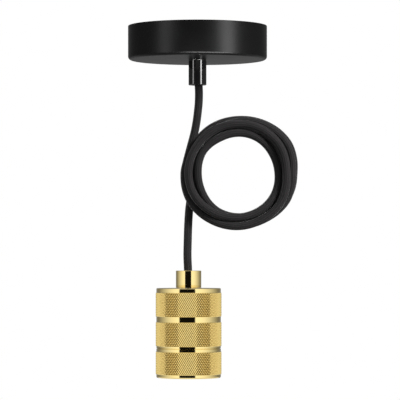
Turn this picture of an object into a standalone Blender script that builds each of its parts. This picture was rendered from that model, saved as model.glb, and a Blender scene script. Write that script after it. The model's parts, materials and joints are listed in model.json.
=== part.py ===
"""Pendant light: ceiling canopy, coiled textile cord and knurled screw lamp holder.

The origin is the middle of the ceiling face, +Z is up, and everything hangs below it.
All sizes are in metres.
"""
import math

import bmesh
import bpy
from mathutils import Matrix, Vector

# Fits shared by all pieces
GAP = 0.0003
SCREW_PLAY = 0.0003

# Cord and the hollow threaded tubes that it passes through
CORD_R = 0.00295
CORD_LEAN = 0.0008
CORD_PLAY = 0.00035
TUBE_WALL = 0.0009
TUBE_BORE_R = CORD_R + CORD_LEAN + CORD_PLAY
TUBE_R = TUBE_BORE_R + TUBE_WALL
TAP_R = TUBE_R + GAP
CORE_R = 0.0010
CORE_RING_R = 0.00125
CORE_STRAIGHT = 0.0017
CORE_DROP = 0.0050
CORE_SWING = 0.0052
CORE_BITE = 0.0050
CORE_CLEARANCE = 0.0016
EARTH_LOOP = 0.0034

# Canopy cup
CANOPY_R = 0.0500
CANOPY_HEIGHT = 0.0245
CANOPY_WALL = 0.0012
CANOPY_EDGE_R = 0.0025
CANOPY_BOTTOM_Z = -CANOPY_HEIGHT
CANOPY_FLOOR_Z = CANOPY_BOTTOM_Z + CANOPY_WALL

# Ceiling strap with its lowered middle
STRAP_WIDTH = 0.0160
STRAP_THICKNESS = 0.0018
STRAP_DROP = 0.0100
STRAP_MIDDLE = 0.0240
STRAP_SLOPE = 0.0060
STRAP_WING = 0.0140
STRAP_SLOT_LENGTH = 0.0095
STRAP_SLOT_WIDTH = 0.0052
STRAP_TOP_Z = -STRAP_DROP
STRAP_UNDER_Z = STRAP_TOP_Z - STRAP_THICKNESS

# Hexagon lock nuts of the threaded tubes
NUT_WALL = 0.0017
NUT_THICKNESS = 0.0025
NUT_FLAT_R = TAP_R + NUT_WALL
NUT_CORNER_R = NUT_FLAT_R / math.cos(math.pi / 6)

# Upper threaded tube
CANOPY_TUBE_ABOVE_NUT = 0.0006
CANOPY_TUBE_TOP_Z = STRAP_TOP_Z + GAP + NUT_THICKNESS + CANOPY_TUBE_ABOVE_NUT

# Cord grip under the canopy
CANOPY_GRIP_WALL = 0.001125
CANOPY_GRIP_LENGTH = 0.0178
CANOPY_GRIP_THREAD = 0.0085
CANOPY_GRIP_R = TAP_R + CANOPY_GRIP_WALL
CANOPY_GRIP_TOP_Z = CANOPY_BOTTOM_Z - GAP
CANOPY_GRIP_BOTTOM_Z = CANOPY_GRIP_TOP_Z - CANOPY_GRIP_LENGTH
CANOPY_SCREW_ANGLE = math.radians(150)
GRIP_EDGE_R = 0.0005
GRIP_BORE_R = TUBE_BORE_R + 0.0002
CORD_ENTRY = 0.0018

# Grub screws that hold the cord in the two grips
GRUB_R = 0.00135
GRUB_SINK = 0.0004

# Terminal block in the canopy
BLOCK_LENGTH = 0.0140
BLOCK_WIDTH = 0.0170
BLOCK_HEIGHT = 0.0106
BLOCK_START_X = 0.0098
POLE_SPACING = 0.0092
SLEEVE_R = 0.0024
SLEEVE_BORE_R = 0.0015
SLEEVE_END = 0.0005
BLOCK_SCREW_R = 0.00115
BLOCK_SCREW_HEAD_R = 0.0014
BLOCK_SCREW_SINK = 0.0012
BLOCK_SCREW_SPACING = 0.0076

# Machine screws with a flat head
SCREW_R = 0.0014
SCREW_HEAD_R = 0.0020
SCREW_HEAD = 0.0016
SCREW_SLOT = 0.0006

# Cable lugs of the two earth cores
LUG_THICKNESS = 0.0008
LUG_RING_WIDTH = 0.0019
LUG_BARREL_R = 0.0017
LUG_BARREL_BORE_R = 0.0013
LUG_BARREL_LENGTH = 0.0043
LUG_NUT_CLEARANCE = 0.0008
STRAP_LUG_X = -0.0185

# Lamp holder: its axis and the heights of its bands, from the top down
HOLDER_X = -0.0064
HOLDER_TOP_Z = -0.1887
TOP_RIM = 0.0034
KNURL_UPPER = 0.0168
KNURL_LOWER = 0.0159
GROOVE = 0.0044
GROOVE_ABOVE_SPLIT = 0.0017
BOTTOM_RIM = 0.0028
BAND_R = 0.02323
KNURL_CREST = 0.00047
KNURL_COUNT = 48
KNURL_HALF_ROWS = 6
KNURL_ONE_Z = HOLDER_TOP_Z - TOP_RIM
GROOVE_ONE_Z = KNURL_ONE_Z - KNURL_UPPER
KNURL_TWO_Z = GROOVE_ONE_Z - GROOVE
GROOVE_TWO_Z = KNURL_TWO_Z - KNURL_UPPER
SPLIT_Z = GROOVE_TWO_Z - GROOVE_ABOVE_SPLIT
KNURL_THREE_Z = GROOVE_TWO_Z - GROOVE
BOTTOM_RIM_Z = KNURL_THREE_Z - KNURL_LOWER
HOLDER_BOTTOM_Z = BOTTOM_RIM_Z - BOTTOM_RIM

# Lamp holder: walls and seats
TOP_PLATE = 0.0022
SPIGOT_STEP = 0.00133
SPIGOT_WALL = 0.0016
SPIGOT_R = BAND_R - SPIGOT_STEP
SHELL_BORE_R = SPIGOT_R - SPIGOT_WALL
SPIGOT_LENGTH = 0.0097
LIP_THICKNESS = 0.0020
LIP_WIDTH = 0.00573
LIP_R = BAND_R - LIP_WIDTH
HOLDER_EDGE_R = 0.0006
BOTTOM_EDGE_R = 0.0010
RING_BORE_R = SPIGOT_R + GAP
LIP_TOP_Z = HOLDER_BOTTOM_Z + LIP_THICKNESS

# Porcelain body and screw shell
FLANGE_R = RING_BORE_R - GAP
CERAMIC_HEIGHT = 0.0329
CERAMIC_FLOOR = 0.0065
CERAMIC_WALL = 0.0029
CAVITY_R = 0.0141
CERAMIC_R = CAVITY_R + CERAMIC_WALL
CERAMIC_BOTTOM_Z = LIP_TOP_Z + GAP
FLANGE_TOP_Z = SPLIT_Z - SPIGOT_LENGTH - GAP
CERAMIC_TOP_Z = CERAMIC_BOTTOM_Z + CERAMIC_HEIGHT
CAVITY_TOP_Z = CERAMIC_TOP_Z - CERAMIC_FLOOR
SHELL_WALL = 0.0004
SHELL_MOUTH = 0.0009
SHELL_FLOOR_R = 0.0076
THREAD_PITCH = 0.00363
THREAD_TURNS = 5
THREAD_DEPTH = 0.0010
THREAD_START = 0.0022
THREAD_CREST_R = CAVITY_R - GAP

# Contacts and terminals of the lamp holder
CONTACT_WIDTH = 0.0050
CONTACT_THICKNESS = 0.0005
CONTACT_REACH = 0.0045
CONTACT_TIP_X = -0.0028
CONTACT_CURL = 0.0012
LINE_SCREW_X = 0.0042
NEUTRAL_SCREW_X = -0.0100
TERMINAL_LENGTH = 0.0074
TERMINAL_WIDTH = 0.0070
TERMINAL_HEIGHT = 0.0065
TERMINAL_WALL = 0.0022
CLAMP_OFFSET = 0.0034
CORE_HOLE_R = CORE_R + 0.00035
CORE_HOLE_DROP = 0.0033
CONTACT_SCREW_BITE = 0.0027

# Cord grip and threaded tube of the lamp holder
HOLDER_GRIP_WALL = 0.00382
HOLDER_GRIP_LENGTH = 0.0123
HOLDER_GRIP_THREAD = 0.0069
HOLDER_GRIP_R = TAP_R + HOLDER_GRIP_WALL
HOLDER_GRIP_BOTTOM_Z = HOLDER_TOP_Z + GAP
HOLDER_GRIP_TOP_Z = HOLDER_GRIP_BOTTOM_Z + HOLDER_GRIP_LENGTH
HOLDER_GRIP_SHOULDER_Z = HOLDER_GRIP_BOTTOM_Z + HOLDER_GRIP_THREAD
HOLDER_SCREW_ANGLE = math.radians(60)
HOLDER_LUG_Z = HOLDER_TOP_Z - TOP_PLATE - GAP
HOLDER_NUT_Z = HOLDER_LUG_Z - LUG_THICKNESS - GAP
HOLDER_TUBE_BELOW_NUT = 0.0032
HOLDER_TUBE_END_Z = HOLDER_NUT_Z - NUT_THICKNESS - HOLDER_TUBE_BELOW_NUT
SHEATH_END_Z = HOLDER_TUBE_END_Z - 0.0020

# Coil of the cord: a ring that stands upright, seen face on
COIL_X = 0.0301
COIL_Y = 0.0014
COIL_Z = -0.1059
COIL_OUTER_R = 0.0419
COIL_INNER_R = 0.0262
COIL_DEPTH = 0.0230

# Route of the free cord, as chosen points from the canopy grip to the coil
UPPER_ROUTE = (
    (0.00069, -0.00040, -0.04080),
    (0.00090, -0.00030, -0.04400),
    (0.00105, -0.00015, -0.04800),
    (0.00100, 0.00000, -0.05250),
    (0.00075, 0.00010, -0.05700),
    (0.00030, 0.00015, -0.06120),
    (-0.00020, 0.00015, -0.06550),
    (-0.00080, 0.00010, -0.06960),
    (-0.00178, 0.00005, -0.07490),
)

# Route of the free cord, as chosen points from the coil to the lamp holder's grip
LOWER_ROUTE = (
    (-0.00596, 0.00590, -0.13160),
    (-0.00640, 0.00480, -0.13760),
    (-0.00664, 0.00370, -0.14200),
    (-0.00686, 0.00250, -0.14740),
    (-0.00702, 0.00130, -0.15380),
    (-0.00718, 0.00030, -0.16020),
    (-0.00724, -0.00030, -0.16450),
    (-0.00714, -0.00055, -0.16880),
    (-0.00692, -0.00067, -0.17310),
    (-0.00680, -0.00069, -0.17790),
)


def clear_scene():
    """Remove every object of the open scene."""
    for found in list(bpy.data.objects):
        bpy.data.objects.remove(found, do_unlink=True)


def make_material(name, colour, roughness, metallic):
    """Return a plain Principled material."""
    material = bpy.data.materials.new(name)
    material.use_nodes = True
    shader = material.node_tree.nodes["Principled BSDF"]
    shader.inputs["Base Color"].default_value = (*colour, 1.0)
    shader.inputs["Roughness"].default_value = roughness
    shader.inputs["Metallic"].default_value = metallic
    return material


def make_materials():
    """Return the materials of all the pieces by name."""
    return {
        "black_satin": make_material("black_satin", (0.012, 0.012, 0.013), 0.42, 0.0),
        "black_gloss": make_material("black_gloss", (0.010, 0.010, 0.011), 0.12, 0.0),
        "textile": make_material("textile", (0.030, 0.028, 0.030), 0.85, 0.0),
        "brass": make_material("brass", (0.72, 0.52, 0.25), 0.22, 1.0),
        "contact_brass": make_material("contact_brass", (0.70, 0.55, 0.28), 0.35, 1.0),
        "steel": make_material("steel", (0.60, 0.60, 0.58), 0.35, 1.0),
        "porcelain": make_material("porcelain", (0.85, 0.83, 0.78), 0.25, 0.0),
        "nylon": make_material("nylon", (0.80, 0.80, 0.76), 0.45, 0.0),
        "core_brown": make_material("core_brown", (0.16, 0.06, 0.03), 0.5, 0.0),
        "core_blue": make_material("core_blue", (0.03, 0.12, 0.42), 0.5, 0.0),
        "core_earth": make_material("core_earth", (0.30, 0.50, 0.06), 0.5, 0.0),
    }


def new_object(name, data, material, place=(0, 0, 0)):
    """Link a new object with its material at its place."""
    made = bpy.data.objects.new(name, data)
    made.location = place
    if data is not None and material is not None:
        data.materials.append(material)
    bpy.context.scene.collection.objects.link(made)
    return made


def finish_mesh(name, shape, material, place=(0, 0, 0), smooth=True):
    """Turn a bmesh into a named object with outward faces."""
    bmesh.ops.recalc_face_normals(shape, faces=shape.faces[:])
    mesh = bpy.data.meshes.new(name)
    shape.to_mesh(mesh)
    shape.free()
    if smooth:
        mesh.shade_smooth()
        mesh.set_sharp_from_angle(angle=math.radians(30))
    return new_object(name, mesh, material, place)


def turned(name, outline, material, place=(0, 0, 0), segments=32):
    """Spin an outline of (radius, height) points about a vertical axis.

    An outline that starts and ends on the axis is left open there.
    """
    shape = bmesh.new()
    points = [shape.verts.new((radius, 0, height)) for radius, height in outline]
    edges = [shape.edges.new(pair) for pair in zip(points[:-1], points[1:])]
    if outline[0][0] > 0:
        edges.append(shape.edges.new((points[-1], points[0])))
    bmesh.ops.spin(shape, geom=points + edges, cent=(0, 0, 0), axis=(0, 0, 1),
                   angle=2 * math.pi, steps=segments, use_merge=True)
    bmesh.ops.remove_doubles(shape, verts=shape.verts[:], dist=1e-6)
    return finish_mesh(name, shape, material, place)


def arc(centre_r, centre_z, radius, start, end, steps=4):
    """Return points of a round corner, with its angles in degrees."""
    angles = [math.radians(start + (end - start) * i / steps) for i in range(steps + 1)]
    return [(centre_r + radius * math.cos(a), centre_z + radius * math.sin(a)) for a in angles]


def bar(name, size, material, place):
    """Return a square bar with its middle at its place."""
    shape = bmesh.new()
    bmesh.ops.create_cube(shape, size=1.0)
    bmesh.ops.scale(shape, vec=size, verts=shape.verts[:])
    return finish_mesh(name, shape, material, place, smooth=False)


def strip(name, outline, width, material, place=(0, 0, 0)):
    """Extrude an outline of (x, z) points along Y, centred on the piece."""
    shape = bmesh.new()
    points = [shape.verts.new((x, -width / 2, z)) for x, z in outline]
    face = shape.faces.new(points)
    sweep = bmesh.ops.extrude_face_region(shape, geom=[face])
    moved = [item for item in sweep["geom"] if isinstance(item, bmesh.types.BMVert)]
    bmesh.ops.translate(shape, vec=(0, width, 0), verts=moved)
    return finish_mesh(name, shape, material, place, smooth=False)


def rod_shape(radius, length, segments):
    """Return a bmesh rod along Z, centred on the origin."""
    shape = bmesh.new()
    bmesh.ops.create_cone(shape, cap_ends=True, segments=segments, radius1=radius,
                          radius2=radius, depth=length)
    return shape


def aim(direction):
    """Return the turn that brings +Z onto a direction."""
    return Vector((0, 0, 1)).rotation_difference(Vector(direction)).to_euler()


def cutter(shape, name, place, direction=(0, 0, 1)):
    """Return a hidden tool that only cuts other pieces."""
    tool = finish_mesh(name, shape, None, place, smooth=False)
    tool.rotation_euler = aim(direction)
    tool.hide_render = True
    tool.display_type = "WIRE"
    return tool


def cut(piece, tool):
    """Cut a tool out of a piece."""
    step = piece.modifiers.new("cut_" + tool.name, "BOOLEAN")
    step.operation = "DIFFERENCE"
    step.solver = "EXACT"
    step.object = tool


def join(piece, tool):
    """Unite a piece with the shape of a tool."""
    step = piece.modifiers.new("join_" + tool.name, "BOOLEAN")
    step.operation = "UNION"
    step.solver = "EXACT"
    step.object = tool


def drill(piece, radius, length, place, direction=(0, 0, 1), segments=12):
    """Cut a round hole, centred on its place along a direction."""
    tool = cutter(rod_shape(radius, length, segments), piece.name + "_drill", place, direction)
    cut(piece, tool)


def slot(piece, size, place, turn=0.0):
    """Cut a square slot, centred on its place and turned about Z."""
    shape = bmesh.new()
    bmesh.ops.create_cube(shape, size=1.0)
    bmesh.ops.scale(shape, vec=size, verts=shape.verts[:])
    bmesh.ops.rotate(shape, cent=(0, 0, 0), matrix=Matrix.Rotation(turn, 3, "Z"), verts=shape.verts[:])
    cut(piece, cutter(shape, piece.name + "_slot", place))


def smooth_route(points, spacing):
    """Return evenly spaced points of a smooth curve through chosen points."""
    knots = [Vector(point) for point in points]
    knots = [2 * knots[0] - knots[1]] + knots + [2 * knots[-1] - knots[-2]]
    dense = []
    for a, b, c, d in zip(knots[:-3], knots[1:-2], knots[2:-1], knots[3:]):
        for i in range(12):
            t = i / 12
            dense.append(0.5 * (2 * b + (c - a) * t + (2 * a - 5 * b + 4 * c - d) * t ** 2
                                + (3 * b - a - 3 * c + d) * t ** 3))
    dense.append(knots[-2])
    reach = [0.0]
    for a, b in zip(dense[:-1], dense[1:]):
        reach.append(reach[-1] + (b - a).length)
    count = max(4, round(reach[-1] / spacing))
    route = []
    for i in range(count + 1):
        goal = reach[-1] * i / count
        k = next(n for n in range(1, len(reach)) if reach[n] >= goal - 1e-9)
        share = (goal - reach[k - 1]) / (reach[k] - reach[k - 1])
        route.append(dense[k - 1].lerp(dense[k], share))
    return route


def tube_along(name, points, radius, material, spacing, resolution=2):
    """Return a round tube with closed ends along a smooth route."""
    route = smooth_route(points, spacing)
    curve = bpy.data.curves.new(name, "CURVE")
    curve.dimensions = "3D"
    curve.bevel_depth = radius
    curve.bevel_resolution = resolution
    curve.use_fill_caps = True
    spline = curve.splines.new("POLY")
    spline.points.add(len(route) - 1)
    for point, target in zip(spline.points, route):
        point.co = (*target, 1.0)
    return new_object(name, curve, material)


def slotted_screw(name, place, direction, length, material, radius=SCREW_R, head=(SCREW_HEAD_R, SCREW_HEAD)):
    """Return a screw whose seat is at its place and whose head points along a direction."""
    head_radius, head_height = head
    outline = [(0, head_height), (head_radius, head_height), (head_radius, 0), (radius, 0),
               (radius, -length), (0, -length)]
    screw = turned(name, outline, material, place, segments=12)
    screw.rotation_euler = aim(direction)
    shape = bmesh.new()
    bmesh.ops.create_cube(shape, size=1.0)
    bmesh.ops.scale(shape, vec=(4 * head_radius, SCREW_SLOT, head_height), verts=shape.verts[:])
    bmesh.ops.translate(shape, vec=(0, 0, head_height), verts=shape.verts[:])
    cut(screw, cutter(shape, name + "_slot", place, direction))
    return screw


def grub_screw(name, place, direction, length, material):
    """Return a headless screw whose outer end is at its place."""
    outline = [(0, 0), (GRUB_R, 0), (GRUB_R, -length), (0, -length)]
    screw = turned(name, outline, material, place, segments=12)
    screw.rotation_euler = aim(direction)
    shape = bmesh.new()
    bmesh.ops.create_cube(shape, size=1.0)
    bmesh.ops.scale(shape, vec=(4 * GRUB_R, SCREW_SLOT, 2 * SCREW_SLOT), verts=shape.verts[:])
    cut(screw, cutter(shape, name + "_slot", place, direction))
    return screw


def lock_nut(name, top_z, centre_x, material):
    """Return a hexagon nut with its bore, below a height."""
    nut = finish_mesh(name, rod_shape(NUT_CORNER_R, NUT_THICKNESS, 6), material,
                      (centre_x, 0, top_z - NUT_THICKNESS / 2), smooth=False)
    drill(nut, TAP_R, 2 * NUT_THICKNESS, (centre_x, 0, top_z - NUT_THICKNESS / 2), segments=20)
    return nut


def threaded_tube(name, top_z, bottom_z, centre_x, material):
    """Return a hollow threaded tube for the cord."""
    outline = [(TUBE_R, top_z), (TUBE_R, bottom_z), (TUBE_BORE_R, bottom_z), (TUBE_BORE_R, top_z)]
    return turned(name, outline, material, (centre_x, 0, 0), segments=20)


def cord_grip(name, span, thread_z, radius, edges, centre_x, material):
    """Return a turned cord grip: a cord bore at one end, a threaded bore at the other.

    span is (top, bottom) and edges says which ends are rounded outside.
    """
    top_z, bottom_z = span
    round_top, round_bottom = edges
    top_bore, bottom_bore = (GRIP_BORE_R, TAP_R) if round_top else (TAP_R, GRIP_BORE_R)
    outline = [(top_bore, top_z)]
    if round_top:
        outline += arc(radius - GRIP_EDGE_R, top_z - GRIP_EDGE_R, GRIP_EDGE_R, 90, 0, 2)
    else:
        outline += [(radius, top_z)]
    if round_bottom:
        outline += arc(radius - GRIP_EDGE_R, bottom_z + GRIP_EDGE_R, GRIP_EDGE_R, 0, -90, 2)
    else:
        outline += [(radius, bottom_z)]
    outline += [(bottom_bore, bottom_z), (bottom_bore, thread_z), (top_bore, thread_z)]
    return turned(name, outline, material, (centre_x, 0, 0), segments=24)


def cable_lug(name, centre, ring_bore, ring_reach, barrel_drop, direction, material):
    """Return a ring lug with a crimp barrel that points along a direction.

    centre is the middle of the ring's upper face. barrel_drop is how far the
    barrel's axis lies below that face, or above it if negative.
    """
    across = Vector(direction)
    ring_r = ring_bore + LUG_RING_WIDTH
    ring = rod_shape(ring_r, LUG_THICKNESS, 20)
    middle = Vector(centre) - Vector((0, 0, LUG_THICKNESS / 2))
    lug = finish_mesh(name, ring, material, middle)
    axis_z = centre[2] - barrel_drop
    start = Vector((centre[0], centre[1], axis_z)) + across * ring_reach
    barrel = rod_shape(LUG_BARREL_R, LUG_BARREL_LENGTH, 12)
    join(lug, cutter(barrel, name + "_barrel", start + across * (LUG_BARREL_LENGTH / 2), direction))
    neck_length = ring_reach - ring_r + 2 * LUG_RING_WIDTH
    neck = bmesh.new()
    bmesh.ops.create_cube(neck, size=1.0)
    bmesh.ops.scale(neck, vec=(neck_length, 2 * LUG_BARREL_BORE_R, LUG_THICKNESS), verts=neck.verts[:])
    turn = Matrix.Rotation(math.atan2(across.y, across.x), 3, "Z")
    bmesh.ops.rotate(neck, cent=(0, 0, 0), matrix=turn, verts=neck.verts[:])
    join(lug, cutter(neck, name + "_neck", middle + across * (ring_reach - neck_length / 2 + LUG_THICKNESS)))
    drill(lug, LUG_BARREL_BORE_R, 2 * (LUG_BARREL_LENGTH - LUG_THICKNESS), start + across * LUG_BARREL_LENGTH,
          direction)
    drill(lug, ring_bore, 4 * LUG_THICKNESS, middle, segments=20)
    return lug


def knurled_ring(name, stations, centre_x, material):
    """Build a turned ring from its outline stations, with diamonds where asked.

    Each station is (radius, height, knurled), where knurled says that the stretch
    from it to the next station is cut with crossed grooves.
    """
    shape = bmesh.new()

    def ring(radius, height, shift=0.0):
        angles = [2 * math.pi * (i + shift) / KNURL_COUNT for i in range(KNURL_COUNT)]
        return [shape.verts.new((radius * math.cos(a), radius * math.sin(a), height)) for a in angles]

    def skin(first, second):
        for i in range(KNURL_COUNT):
            j = (i + 1) % KNURL_COUNT
            shape.faces.new((first[i], first[j], second[j], second[i]))

    def diamonds(first, second, radius, top_z, bottom_z):
        rows = [first]
        for k in range(1, KNURL_HALF_ROWS):
            height = top_z + (bottom_z - top_z) * k / KNURL_HALF_ROWS
            rows.append(ring(radius, height, 0.5 * (k % 2)))
        rows.append(second)
        cells = []
        for k in range(1, KNURL_HALF_ROWS):
            for i in range(KNURL_COUNT):
                j = (i + 1) % KNURL_COUNT
                middle = j if k % 2 else i
                corners = (rows[k][i], rows[k + 1][middle], rows[k][j], rows[k - 1][middle])
                cells.append(shape.faces.new(corners))
        for i in range(KNURL_COUNT):
            j = (i + 1) % KNURL_COUNT
            shape.faces.new((rows[0][i], rows[1][i], rows[0][j]))
            shape.faces.new((rows[-1][i], rows[-1][j], rows[-2][i]))
        bmesh.ops.recalc_face_normals(shape, faces=shape.faces[:])
        peaks = bmesh.ops.poke(shape, faces=cells)["verts"]
        for peak in peaks:
            flat = Vector((peak.co.x, peak.co.y, 0)).normalized()
            peak.co = Vector((0, 0, peak.co.z)) + flat * (BAND_R + KNURL_CREST)

    rings = [ring(radius, height) for radius, height, _ in stations]
    for index, (radius, height, knurled) in enumerate(stations):
        after = (index + 1) % len(stations)
        if knurled:
            diamonds(rings[index], rings[after], radius, height, stations[after][1])
        else:
            skin(rings[index], rings[after])
    return finish_mesh(name, shape, material, (centre_x, 0, 0))


def build_canopy(looks):
    """Cup, strap, threaded tube, lock nuts and cord grip at the ceiling."""
    corner_r = CANOPY_R - CANOPY_EDGE_R
    corner_z = CANOPY_BOTTOM_Z + CANOPY_EDGE_R
    inner_edge_r = CANOPY_EDGE_R - CANOPY_WALL
    outline = [(CANOPY_R - CANOPY_WALL, 0), (CANOPY_R, 0)]
    outline += arc(corner_r, corner_z, CANOPY_EDGE_R, 0, -90, 3)
    outline += [(TAP_R, CANOPY_BOTTOM_Z), (TAP_R, CANOPY_FLOOR_Z)]
    outline += arc(corner_r, corner_z, inner_edge_r, -90, 0, 2)
    turned("canopy_cup", outline, looks["black_satin"], segments=48)

    build_strap(looks["steel"])
    tube_bottom_z = CANOPY_GRIP_TOP_Z - CANOPY_GRIP_THREAD + GAP
    threaded_tube("canopy_tube", CANOPY_TUBE_TOP_Z, tube_bottom_z, 0, looks["steel"])
    lock_nut("strap_nut_upper", STRAP_TOP_Z + GAP + NUT_THICKNESS, 0, looks["steel"])
    lock_nut("strap_nut_lower", STRAP_UNDER_Z - GAP, 0, looks["steel"])

    grip = cord_grip("canopy_grip", (CANOPY_GRIP_TOP_Z, CANOPY_GRIP_BOTTOM_Z),
                     CANOPY_GRIP_TOP_Z - CANOPY_GRIP_THREAD, CANOPY_GRIP_R, (False, True), 0,
                     looks["black_gloss"])
    screw_z = (CANOPY_GRIP_TOP_Z - CANOPY_GRIP_THREAD + CANOPY_GRIP_BOTTOM_Z) / 2
    add_grub_screw(grip, "canopy_grip_screw", (0, 0, screw_z), CANOPY_GRIP_R, CANOPY_SCREW_ANGLE,
                   looks["steel"])


def add_grub_screw(grip, name, centre, grip_radius, angle, material):
    """Drill a grip from the side and put its grub screw against the cord."""
    outward = Vector((math.cos(angle), math.sin(angle), 0))
    middle = Vector(centre)
    wall_middle = middle + outward * (grip_radius + TUBE_BORE_R) / 2
    drill(grip, GRUB_R + SCREW_PLAY, grip_radius, wall_middle, outward)
    tip = CORD_R - CORD_LEAN + GAP
    outer_end = grip_radius - GRUB_SINK
    grub_screw(name, middle + outward * outer_end, outward, outer_end - tip, material)


def build_strap(material):
    """Ceiling strap: one bent strip with two screw slots and a tube hole."""
    ends = STRAP_MIDDLE + STRAP_SLOPE
    top = [(-ends - STRAP_WING, 0), (-ends, 0), (-STRAP_MIDDLE, STRAP_TOP_Z), (STRAP_MIDDLE, STRAP_TOP_Z),
           (ends, 0), (ends + STRAP_WING, 0)]
    lean = math.atan2(STRAP_DROP, STRAP_SLOPE)
    shift = STRAP_THICKNESS * math.tan(lean / 2)
    under = [(ends + STRAP_WING, -STRAP_THICKNESS), (ends + shift, -STRAP_THICKNESS),
             (STRAP_MIDDLE + shift, STRAP_UNDER_Z), (-STRAP_MIDDLE - shift, STRAP_UNDER_Z),
             (-ends - shift, -STRAP_THICKNESS), (-ends - STRAP_WING, -STRAP_THICKNESS)]
    strap = strip("ceiling_strap", top + under, STRAP_WIDTH, material)
    drill(strap, TAP_R, 4 * STRAP_THICKNESS, (0, 0, STRAP_TOP_Z), segments=24)
    for side in (-1, 1):
        middle_x = side * (ends + STRAP_WING / 2 + STRAP_THICKNESS / 2)
        half_run = (STRAP_SLOT_LENGTH - STRAP_SLOT_WIDTH) / 2
        slot(strap, (2 * half_run, STRAP_SLOT_WIDTH, 4 * STRAP_THICKNESS), (middle_x, 0, 0))
        for end in (-1, 1):
            drill(strap, STRAP_SLOT_WIDTH / 2, 4 * STRAP_THICKNESS, (middle_x + end * half_run, 0, 0))
    drill(strap, SCREW_R + SCREW_PLAY, 4 * STRAP_THICKNESS, (STRAP_LUG_X, 0, STRAP_TOP_Z))
    block_x = BLOCK_START_X + BLOCK_LENGTH / 2
    drill(strap, BLOCK_SCREW_R + SCREW_PLAY, 4 * STRAP_THICKNESS, (block_x, 0, STRAP_TOP_Z))


def build_terminal_block(looks):
    """Two-pole terminal block under the strap, with sleeves and screws."""
    top_z = STRAP_UNDER_Z - GAP
    centre = Vector((BLOCK_START_X + BLOCK_LENGTH / 2, 0, top_z - BLOCK_HEIGHT / 2))
    bottom_z = top_z - BLOCK_HEIGHT
    block = bar("terminal_block", (BLOCK_LENGTH, BLOCK_WIDTH, BLOCK_HEIGHT), looks["nylon"], centre)
    drill(block, BLOCK_SCREW_R + SCREW_PLAY, 2 * BLOCK_HEIGHT, centre)
    drill(block, BLOCK_SCREW_HEAD_R + SCREW_PLAY, 2 * BLOCK_SCREW_SINK + 2 * SCREW_HEAD,
          (centre.x, 0, bottom_z))
    seat_z = bottom_z + BLOCK_SCREW_SINK + SCREW_HEAD - GAP
    slotted_screw("block_fixing_screw", (centre.x, 0, seat_z), (0, 0, -1), STRAP_TOP_Z - seat_z,
                  looks["steel"], BLOCK_SCREW_R, (BLOCK_SCREW_HEAD_R, SCREW_HEAD))
    for pole, side in (("line", -1), ("neutral", 1)):
        pole_y = side * POLE_SPACING / 2
        drill(block, SLEEVE_R + GAP, 2 * BLOCK_LENGTH, (centre.x, pole_y, centre.z), (1, 0, 0))
        sleeve_length = BLOCK_LENGTH - 2 * SLEEVE_END
        sleeve = finish_mesh(pole + "_sleeve", rod_shape(SLEEVE_R, sleeve_length, 12), looks["contact_brass"],
                             (centre.x, pole_y, centre.z))
        sleeve.rotation_euler = aim((1, 0, 0))
        drill(sleeve, SLEEVE_BORE_R, 2 * sleeve_length, (centre.x, pole_y, centre.z), (1, 0, 0))
        for end, label in ((-1, "inner"), (1, "outer")):
            screw_x = centre.x + end * BLOCK_SCREW_SPACING / 2
            drill(block, BLOCK_SCREW_HEAD_R + SCREW_PLAY, BLOCK_HEIGHT, (screw_x, pole_y, bottom_z))
            drill(sleeve, BLOCK_SCREW_R + SCREW_PLAY, 2 * SLEEVE_R, (screw_x, pole_y, centre.z - SLEEVE_R))
            seat_z = centre.z - SLEEVE_R - 2 * GAP
            slotted_screw("%s_%s_screw" % (pole, label), (screw_x, pole_y, seat_z), (0, 0, -1),
                          SLEEVE_R - CORE_R + GAP, looks["steel"], BLOCK_SCREW_R,
                          (BLOCK_SCREW_HEAD_R, SCREW_HEAD))


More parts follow.
